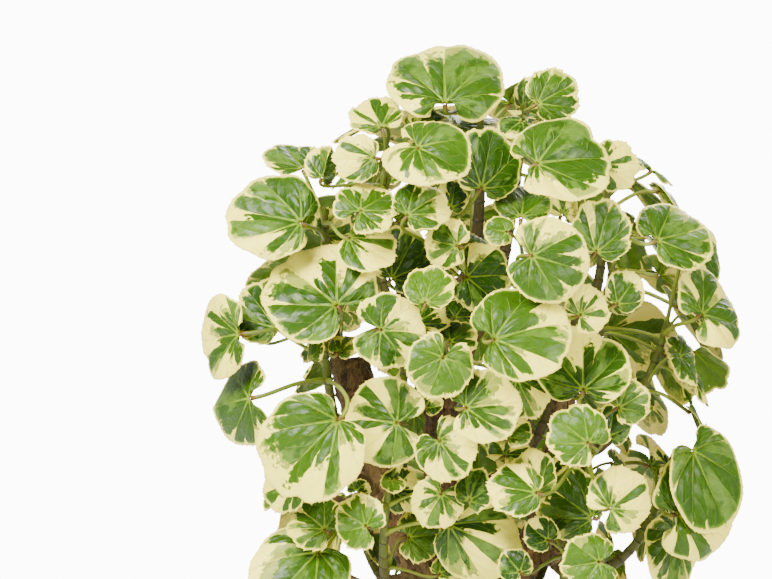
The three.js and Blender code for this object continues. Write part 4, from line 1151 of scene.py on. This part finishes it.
# Stems first: the limbs, then for each shoot its branch in three straight runs and its curve
for limb in LIMBS:
    limb = np.array(limb, float)
    add_polyline(limb[:, :3], limb[:, 3])
for number, shoot in enumerate(SHOOTS):
    foot, base, pull, tip = shoot
    neck = base - BRANCH_STRAIGHT * unit(pull - base)
    bend = neck - BRANCH_BEND * np.linalg.norm(base - foot) * unit(pull - base)
    middle = foot * 0.45 ** 2 + bend * 2 * 0.55 * 0.45 + neck * 0.55 ** 2
    add_polyline([foot, middle, neck, base], BRANCH_RADII)
    share = shares_for(np.linalg.norm(tip - base))
    add_stem(along_shoot(shoot, share),
             SHOOT_BASE_RADIUS + (SHOOT_TIP_RADIUS - SHOOT_BASE_RADIUS) * share, number)
stems = {key: np.concatenate(values) for key, values in stems.items()}
# Then the leaves: those of the table, a young one at each tip, and those of the rule
for number, row in enumerate(FRONT_LEAVES):
    place_front_leaf(number, row)
for number in range(len(SHOOTS)):
    place_tip_leaf(number)
rule_leaves = 0
for _ in range(RULE_ATTEMPTS):
    if rule_leaves < RULE_LEAVES and place_rule_leaf(rule_leaves / RULE_LEAVES):
        rule_leaves += 1

# Leafy shoots. A green ringed shoot carries long stalks, each with a sheath at its foot and a
# reddish joint, and a thin glossy blade: toothed, creased along its main veins, puffed up between
# them, and patched in green and cream from the joint outwards.
BLADE_SEED = 9000
RINGS = np.array([0, 0.09, 0.2, 0.34, 0.5, 0.65, 0.79, 0.9, 0.965, 1])
HUB_RADIUS = 0.7
BLADE_HALF = 0.3
RIM_HALF = 0.14
YOUNG_RADIUS = 18
YOUNG_RANGE = 9
TOOTH_PITCH = 5.6
FEWEST_TEETH = 6
TOOTH_PLACES = (0, 0.16, 0.36, 0.72)
TOOTH_HEIGHTS = (0, 1, 0.5, 0.3)
TOOTH_HEIGHT = 0.84
TOOTH_UNEVENNESS = (0.35, 1.6)
OUTER_VEINS = 3.45
OUTER_VEINS_SMALL = 2.45
SMALL_RADIUS = 15
VEIN_BENDS = (0.02, 0.16)
VEIN_SWAYS = (-0.3, 0.3)
LOBE_DIPS = (0.01, 0.05)
YOUNG_LOBE_DIP = 0.035
MOST_NICKS = 3
NICK_PLACES = (-2.5, 2.5)
NICK_WIDTH = 0.14
NICK_DEPTHS = (0.02, 0.06)
EAR_ANGLE = 0.3
EAR_ROUNDING = 0.3
PUFFS = (0.05, 0.088)
ARCHES = (-0.02, 0.09)
RUFFLES = (0.022, 0.052)
RUFFLE_LENGTH = 1.7
CURLS = (0.02, 0.14)
PALENESS = (0.05, 0.25)
STALK_STATIONS = 15
STALK_COLUMNS = 8
STALK_SLIMMEST = 0.55
STALK_FULL_RADIUS = 30
FOOT_LENGTH = 6.5
JOINT_SWELLING = 0.25
JOINT_LENGTH = 3
STALK_DOME = 0.5
SHOOT_COLUMNS = 12
SHOOT_STEP = 1.1
SHOOT_DOME = 0.4
SCAR_STEP = 10.5
SCAR_WIDTH = 0.75
SCAR_HEIGHT = 0.12
BUD_LENGTH = 9
BUD_RINGS = 7
BUD_POINT = 0.15
# Places in a shoot's list of materials, in which the blade's upper and lower sides come first
STALK_FINISH = 2
SHOOT_FINISH = 3
DARKEST_GREEN = (26, 56, 2)
EDGE_GREEN = (92, 132, 8)
WARM_CREAM = (232, 218, 70)
INNER_VEIN = (128, 156, 32)
OUTER_VEIN = (84, 122, 14)
HUB_GREEN = (140, 160, 36)
HUB_RED = (118, 66, 20)
RIM_TAN = (222, 196, 90)
RUST = (140, 88, 28)
# Painted light on the stalks: a darker side of painted shade and a paler side painted as lit
STALK_PAINTED_SHADE = (86, 102, 12)
STALK_PAINTED_LIGHT = (134, 148, 34)
STALK_STREAK = (84, 76, 26)
JOINT_RED = (108, 58, 28)
SHEATH_BROWN = (72, 60, 22)
SHOOT_OLD = (60, 53, 9)
SHOOT_YOUNG = (82, 96, 9)
SHOOT_STREAK = (60, 46, 20)
SCAR_BROWN = (40, 28, 12)


def slab(upper, lower):
    """Faces of a closed thin body from two equal grids of points, and 0 or 1 for each face that
    belongs to the upper or the lower side. The two sides are joined round their edge."""
    rows, columns = upper.shape[:2]
    count = rows * columns
    top = grid_faces(rows, columns)
    index = np.arange(count).reshape(rows, columns)
    edge = np.concatenate([index[0, :-1], index[:-1, -1], index[-1, :0:-1], index[:0:-1, 0]])
    beside = np.roll(edge, -1)
    rim = np.stack([edge, edge + count, beside + count, beside], axis=-1)
    faces = np.concatenate([top, rim, top[:, ::-1] + count])
    side = np.repeat([0, 0, 1], [len(top), len(rim), len(top)])
    return np.concatenate([upper.reshape(-1, 3), lower.reshape(-1, 3)]), faces, side


def rim_steps(leaf):
    """Points along a blade's rim, four to a tooth and alike on both sides of the midrib: their
    angles from the midrib, seen from the joint, and the height of the tooth there, 0 to 1."""
    radius, spread = leaf["radius"], leaf["spread"]
    notch = rim_reach(leaf, spread)
    widest = math.atan2(notch * math.sin(spread), notch * math.cos(spread) - leaf["offset"])
    teeth = max(FEWEST_TEETH, round(radius * widest / TOOTH_PITCH))
    half_turn = np.append((np.arange(teeth)[:, None] + TOOTH_PLACES).ravel(), teeth)
    half_turn = half_turn * widest / teeth
    half_tooth = np.append(np.tile(TOOTH_HEIGHTS, teeth), 0)
    turn = np.concatenate([-half_turn[:0:-1], half_turn])
    tooth = np.concatenate([half_tooth[:0:-1], half_tooth])
    return np.arctan2(radius * np.sin(turn), leaf["offset"] + radius * np.cos(turn)), tooth


def lobed_rim(leaf, angle, rim_vein, young, dice):
    """Distance from the joint to the rim without its teeth: the solid's circle, drawn in between
    two main veins by dip * sin(pi vein)^4, at a few nicks, and at the two ears by the stalk."""
    dip = dice.uniform(*LOBE_DIPS) + YOUNG_LOBE_DIP * young
    share = 1 - dip * (0.5 - 0.5 * np.cos(2 * math.pi * rim_vein)) ** 2
    for _ in range(dice.integers(0, MOST_NICKS + 1)):
        off_nick = (rim_vein - dice.uniform(*NICK_PLACES)) / NICK_WIDTH
        share -= dice.uniform(*NICK_DEPTHS) * np.exp(-off_nick ** 2)
    ear = np.clip((np.abs(angle) - leaf["spread"] + EAR_ANGLE) / EAR_ANGLE, 0, 1)
    return rim_reach(leaf, angle) * (share - EAR_ROUNDING * ear ** 2.5)


def blade_lift(angle, ring, vein, dice):
    """Rise of a blade over its solid's, as a share of its radius: puffs between the main veins,
    an arch 4 ring (1 - ring), a ruffle sin(2 pi vein / length) that grows as ring^3, and one side
    that curls down as ring^5."""
    off_vein = np.abs(vein - np.round(vein))
    swell = np.sin(math.pi * ring ** 0.75)
    puff = dice.uniform(*PUFFS) * (1 - (1 - 2 * off_vein) ** 2) * swell
    arch = dice.uniform(*ARCHES) * 4 * ring * (1 - ring)
    ruffle = dice.uniform(*RUFFLES) * ring ** 3
    ruffle = ruffle * np.sin(2 * math.pi * (vein / RUFFLE_LENGTH + dice.uniform()))
    off_curl = angle - dice.uniform(-math.pi, math.pi)
    curl = -dice.uniform(*CURLS) * ring ** 5 * (0.5 + 0.5 * np.cos(off_curl)) ** 2
    return puff + arch + ruffle + curl


def blade_body(leaf, number):
    """A blade as rings of points round its joint, from 0 there to 1 at the rim, with teeth on the
    last ring. The vein place counts the main veins from the midrib, which bend towards the rim.
    Smaller, younger blades have deeper lobes and longer teeth."""
    dice = np.random.default_rng(BLADE_SEED + number)
    radius, spread = leaf["radius"], leaf["spread"]
    angle, tooth = rim_steps(leaf)
    ring = RINGS[:, None]
    outer_veins = OUTER_VEINS if radius > SMALL_RADIUS else OUTER_VEINS_SMALL
    bend, sway = dice.uniform(*VEIN_BENDS), dice.uniform(*VEIN_SWAYS)
    vein = angle / spread * outer_veins * (1 + bend * (ring - 0.4)) + sway * ring * (1 - ring)
    young = math.exp(-((radius - YOUNG_RADIUS) / YOUNG_RANGE) ** 2)
    rim = lobed_rim(leaf, angle, vein[-1], young, dice)
    jut = TOOTH_HEIGHT * (0.68 + 0.8 * young) * tooth
    jut = jut * dice.uniform(*TOOTH_UNEVENNESS, len(tooth))
    reach = HUB_RADIUS + (rim - HUB_RADIUS) * ring + jut * (ring == 1)

    middle = blade_points(leaf, angle + 0 * ring, reach)
    middle += (radius * blade_lift(angle, ring, vein, dice))[..., None] * leaf["normal"]
    half = (BLADE_HALF + (RIM_HALF - BLADE_HALF) * ring ** 6)[..., None] * leaf["normal"]
    points, faces, lower_side = slab(middle + half, middle - half)

    by_chance = dice.uniform(-math.pi, math.pi), dice.uniform(*PALENESS)
    pale_way, pale = leaf.get("pale", by_chance)
    green = leaf["green"] - pale * np.cos(angle - pale_way) + 0 * ring
    spacing = spread / outer_veins * reach
    vein_place = np.stack([vein, ring + 0 * angle, spacing], axis=-1).reshape(-1, 3)
    habit = np.stack([number + 0 * vein, green, leaf["yellow"] + 0 * vein], axis=-1).reshape(-1, 3)
    return {"points": points, "faces": [faces], "finish": lower_side,
            "vein_place": np.tile(vein_place, (2, 1)), "habit": np.tile(habit, (2, 1))}


def stem_body(path, radius, finish, habit, end_dome):
    """A stalk or shoot as a tube. Its vein place holds the share round it, the share along it and
    the distance along it; its habit has a row for each section."""
    points, faces = tube(path, radius, end_dome)
    columns = radius.shape[1]
    along = lengths_along(path)[:, None]
    # 1 on one side of the tube and 0 on the other: the side that the stalk's painted light shows as
    # lit
    painted_lit_side = np.abs(np.linspace(-1, 1, columns, endpoint=False))
    place = np.stack(np.broadcast_arrays(painted_lit_side, along / along[-1], along), axis=-1)
    place = place.reshape(-1, 3)
    habit = np.repeat(habit, columns, axis=0)
    return {"points": points, "faces": faces,
            "finish": np.full(sum(len(group) for group in faces), finish),
            "vein_place": np.concatenate([place, place[[0, -1]]]),
            "habit": np.concatenate([habit, habit[[0, -1]]])}


def stalk_body(leaf, number):
    """A stalk: a clasping foot, a thin even run, and a swelling where it carries the blade. Its
    habit holds its number and how near each section is to the blade and to the foot."""
    share = np.linspace(0, 1, STALK_STATIONS) ** 1.15
    path = stalk_points(leaf, leaf["root"], share)
    stoutness = STALK_SLIMMEST + (1 - STALK_SLIMMEST) * leaf["radius"] / STALK_FULL_RADIUS
    along = lengths_along(path)
    left = along[-1] - along
    clasp = np.exp(-(along / FOOT_LENGTH) ** 2)
    swelling = JOINT_SWELLING * np.exp(-(left / JOINT_LENGTH) ** 2)
    radius = STALK_RADIUS * min(1.0, stoutness) * (1.08 + clasp + swelling)
    habit = np.stack([number + 0 * along, np.exp(-left / 5), np.exp(-(along / 8) ** 2)], axis=-1)
    radius = np.repeat(radius[:, None], STALK_COLUMNS, axis=1)
    return stem_body(path, radius, STALK_FINISH, habit, STALK_DOME)


def shoot_body(shoot, number):
    """A green shoot: it tapers to a bud of half an ellipse, and has a raised scar ring at every
    uneven step where a leaf has dropped off. Its habit holds its number, how near each section is
    to a scar, and its share of the way to the tip."""
    length = np.linalg.norm(shoot[3] - shoot[1])
    share = np.linspace(0, 1, round(length / SHOOT_STEP))
    tip_way = unit(shoot[3] - shoot[2])
    bud = BUD_LENGTH * np.linspace(0, 1, BUD_RINGS + 1)[1:, None]
    path = np.concatenate([along_shoot(shoot, share), shoot[3] + bud * tip_way])
    along = lengths_along(path)
    plain = SHOOT_BASE_RADIUS + (SHOOT_TIP_RADIUS - SHOOT_BASE_RADIUS) * share
    tapered = SHOOT_TIP_RADIUS * np.sqrt(1 - (bud[:, 0] / BUD_LENGTH) ** 2) + BUD_POINT
    uneven = along + 2.6 * np.sin(along / 11 + number) + 2.3 * number
    scar = np.exp(-((np.mod(uneven, SCAR_STEP) - SCAR_STEP / 2) / SCAR_WIDTH) ** 2)
    scar[len(share):] = 0
    radius = np.concatenate([plain, tapered]) * (0.95 + SCAR_HEIGHT * scar)
    angle = np.linspace(0, 2 * math.pi, SHOOT_COLUMNS, endpoint=False)
    radius = radius[:, None] * (1 + 0.03 * np.sin(4 * angle + 0.05 * along[:, None]))
    habit = np.stack([number + 0 * along, scar, np.minimum(along / length, 1)], axis=-1)
    return stem_body(path, radius, SHOOT_FINISH, habit, SHOOT_DOME)


def blade_finish(name, old_green, young_green, grey_green, cream, cream_vein, gloss, relief):
    """A blade's skin. Between two main veins lie two cells, parted by a line that wanders. Each
    cell has its own green finger, which runs from the joint to a length thrown for it, and cream
    runs in from the rim between two fingers to a depth thrown for that border. The fingers' edges
    are torn by slow noise and by the leaf's smallest cells. A cloudy grey-green reaches a little
    beyond them. Over that lie the veins, sunk or raised, a quilting between them, and now and
    then a rusty speck."""
    finish = Finish(name)
    place = finish.place()
    vein, ring, spacing = finish.attribute("vein_place")
    number, green, yellow = finish.attribute("habit")
    number = number.maths("ROUND")

    # The two cells between two veins, and what is thrown for a cell and for its two borders
    sector = vein.maths("FLOOR")
    inside = vein - sector
    parting, _, _ = finish.dice(sector + number * 16 + 8)
    drift = finish.noise(finish.vector(sector * 3.7 + number, ring * 3.0, 0.5), 1.0) - 0.5
    parting = parting * 0.3 + 0.35 + drift * 0.3
    beyond = inside.maths("GREATER_THAN", parting)
    border = sector * 4 + beyond * 2 + number * 64
    length, tone, patch = finish.dice(border + 1)
    near_depth, _, _ = finish.dice(border)
    far_depth, _, _ = finish.dice(border + 2)
    low, high = inside / parting, (inside - parting) / (1 - parting)
    across = low + (high - low) * beyond
    depth = near_depth + (far_depth - near_depth) * across
    bow = (across * 2 - 1).maths("ABSOLUTE").maths("POWER", 3.6)

    # How far the green and the grey-green reach from the joint
    bare = 1 - green
    jag_place = finish.vector(vein * 4.2, ring * 4.4, number * 3.17)
    jag = (finish.noise(jag_place, 1.0, 1.0) - 0.5) * 0.3
    small_cells = finish.node("ShaderNodeTexVoronoi", {}, {"Vector": place, "Scale": 340.0})
    cell_dice = finish.node("ShaderNodeSeparateXYZ", {}, {"Vector": small_cells["Color"]})
    nick = (cell_dice["X"] - 0.5) * 0.085 + (finish.noise(place, 240.0) - 0.5) * 0.16
    jag = jag + nick
    finger = 1.06 - bare.maths("POWER", 1.3) * 2.3 * (1 - length).maths("POWER", 2.0)
    finger = finger.maths("MAXIMUM", 0.22)
    finger = finger * (1 - bow * depth.maths("POWER", 1.5) * (bare * 0.85 + 0.3)) + jag
    deep_reach = finger.maths("MINIMUM", 0.95 + jag * 0.12) - ring
    grey_reach = finger + 0.01 + patch * patch * 0.42 + nick
    grey_reach = grey_reach.maths("MINIMUM", 0.97 + jag * 0.12) - ring
    deep = deep_reach.step(-0.006, 0.012)
    grey = grey_reach.step(-0.02, 0.05)
    bright_edge = deep_reach.step(0.0, 0.012) * deep_reach.step(0.055, 0.012)
    cloud = finish.noise(finish.vector(vein * 2.4, ring * 3.2, number * 2.3), 1.0, 3.0)
    milky = (cloud + patch * 0.5 - tone * 0.3).step(0.67, 0.8) * ring.step(0.12, 0.4)

    # Colours of the patches
    mottle = finish.noise(place, 190.0, 5.0)
    leaf_green = finish.mix(yellow * 1.4 + tone * 0.3 - 0.38, old_green, young_green)
    dark_green = finish.mix(0.6, leaf_green, DARKEST_GREEN)
    leaf_green = finish.mix(mottle.step(0.6, 0.36) * 0.4, leaf_green, dark_green)
    leaf_green = finish.mix(bright_edge * 0.5, leaf_green, EDGE_GREEN)
    grey_cloud = finish.mix(mottle.step(0.35, 0.7) * 0.5, grey_green, leaf_green)
    warm = finish.noise(place, 26.0, 3.0).step(0.35, 0.7)
    base = finish.mix(warm * 0.45 + yellow * 0.4, cream, WARM_CREAM)
    base = finish.mix(grey * 0.8, base, grey_cloud)
    base = finish.mix(deep, base, finish.mix(milky * 0.8, leaf_green, grey_cloud))

    # Veins: the main ones, and side veins that leave them slantwise
    off_vein = (vein - vein.maths("ROUND")).maths("ABSOLUTE")
    off_mm = off_vein * spacing
    width = spacing / ring
    thick = (width * 0.014 + 0.4) * (1 - ring * 0.82)
    main = off_mm.step(thick + 0.25, thick * 0.55)
    sprays = ring * 3.4 - off_vein * 2.8 + length * 0.8 + drift * 0.8 + 10
    off_spray = (sprays - sprays.maths("ROUND")).maths("ABSOLUTE")
    side = (off_spray * width * 0.5).step(1.0, 0.2) * ring.step(0.1, 0.25) * ring.step(0.98, 0.8)
    quilt = 1 - (1 - off_spray * 2).maths("POWER", 2)
    vein_tint = finish.mix(deep, cream_vein, finish.mix(ring, INNER_VEIN, OUTER_VEIN))
    base = finish.mix(side * 0.3, base, vein_tint)
    base = finish.mix(main * (0.95 - ring * 0.65), base, vein_tint)

    # The joint, green and on some leaves red, the rim, and the specks
    ruddy, _, _ = finish.dice(number + 0.5)
    rusty = finish.noise(place, 520.0, 0.0).step(0.82, 0.85)
    base = finish.mix(spacing.step(2.6, 0.8), base, HUB_GREEN)
    base = finish.mix(spacing.step(1.1, 0.3) * ruddy * 0.8, base, HUB_RED)
    base = finish.mix(ring.step(0.985, 0.998) * 0.4, base, RIM_TAN)
    base = finish.mix(rusty * 0.5, base, RUST)

    # Relief and gloss
    blisters = finish.node("ShaderNodeTexVoronoi", {"feature": "SMOOTH_F1"},
                           {"Vector": place, "Scale": 330.0})
    height = (main * 0.7 + side * 0.25) * (deep * 0.65 + 0.35) * relief + quilt * width * 0.01
    height = height + blisters * -0.3 + mottle * 0.32
    roughness = gloss + mottle * 0.14 + (1 - deep) * 0.07
    return finish.surface(base, roughness, height, 0.0009,
                          {"IOR": 1.46, "Specular IOR Level": 0.26})


def stalk_finish():
    """A stalk's skin: olive green with painted light, pale on one side as if lit and darker on the
    other as painted shade, and red-brown at the blade and at its foot.
    """
    finish = Finish("olive_stalk")
    place = finish.place()
    painted_lit_side, _, _ = finish.attribute("vein_place")
    _, joint, foot = finish.attribute("habit")
    streak = finish.noise(place, 240.0, 3.0)
    # Painted light: one side pale as if lit, the other darker as painted shade
    colour = finish.mix(painted_lit_side.step(0.2, 0.9), STALK_PAINTED_SHADE, STALK_PAINTED_LIGHT)
    colour = finish.mix(streak.step(0.4, 0.75) * 0.4, colour, STALK_STREAK)
    colour = finish.mix(joint.step(0.25, 0.85) * 0.75, colour, JOINT_RED)
    colour = finish.mix(foot.step(0.4, 1.0) * 0.5, colour, SHEATH_BROWN)
    return finish.surface(colour, streak * 0.2 + 0.35, streak, 0.0003,
                          {"Specular IOR Level": 0.35})


def shoot_finish():
    """A shoot's skin: green at the tip, dull brown-green lower down, with dark leaf scars."""
    finish = Finish("ringed_green_shoot")
    place = finish.place()
    _, scar, to_tip = finish.attribute("habit")
    streak = finish.noise(place, 160.0, 4.0)
    colour = finish.mix(to_tip.step(0.1, 0.9), SHOOT_OLD, SHOOT_YOUNG)
    colour = finish.mix(streak.step(0.45, 0.7) * 0.5, colour, SHOOT_STREAK)
    colour = finish.mix(scar.step(0.35, 0.9) * 0.75, colour, SCAR_BROWN)
    return finish.surface(colour, streak * 0.2 + 0.45, streak + scar, 0.0005,
                          {"Specular IOR Level": 0.35})


shoot_finishes = [
    blade_finish("variegated_blade", old_green=(27, 58, 1), young_green=(66, 101, 3),
                 grey_green=(90, 121, 38), cream=(250, 240, 98), cream_vein=(214, 206, 72),
                 gloss=0.27, relief=-1.0),
    blade_finish("blade_underside", old_green=(60, 92, 14), young_green=(98, 130, 26),
                 grey_green=(120, 142, 70), cream=(236, 220, 118), cream_vein=(176, 182, 60),
                 gloss=0.5, relief=1.0),
    stalk_finish(),
    shoot_finish(),
]
for number, shoot in enumerate(SHOOTS):
    bodies = [shoot_body(shoot, number)]
    for place, leaf in enumerate(leaves):
        if leaf["shoot"] == number:
            bodies += [blade_body(leaf, place), stalk_body(leaf, place)]
    starts = np.cumsum([0] + [len(body["points"]) for body in bodies])
    piece = new_piece(
        f"leafy_shoot_piece_{number + 1:02d}",
        np.concatenate([body["points"] for body in bodies]),
        [group + start for body, start in zip(bodies, starts) for group in body["faces"]],
        shoot_finishes,
        np.concatenate([body["finish"] for body in bodies]),
        [(label, np.concatenate([body[label] for body in bodies]))
         for label in ("vein_place", "habit")])
    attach(piece, "root")
    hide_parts(f"leafy_shoot_{number + 1:02d}")

# Floor. A plain pale disc that the pot stands on, wide enough for its soft shadow.
FLOOR_RADIUS = 2200
FLOOR_THICKNESS = 12
FLOOR_GAP = 0.2
FLOOR_COLUMNS = 96
FLOOR_WHITE = (238, 238, 236)
FLOOR_SPECKLE = (226, 226, 224)


def floor_paint():
    """Matt off-white paint with a faint speckle."""
    finish = Finish("pale_floor")
    speckle = finish.noise(finish.place(), 60.0)
    colour = finish.mix(speckle * 0.1, FLOOR_WHITE, FLOOR_SPECKLE)
    return finish.surface(colour, speckle * 0.1 + 0.7, speckle, 0.0001, {})


floor_profile = [(FLOOR_RADIUS, -FLOOR_THICKNESS), (FLOOR_RADIUS, -FLOOR_GAP)]
floor_points, floor_faces = turned(floor_profile, FLOOR_COLUMNS)
floor = new_piece("floor", floor_points, floor_faces, [floor_paint()])
floor.data.polygons.foreach_set("use_smooth", np.zeros(len(floor.data.polygons), bool))
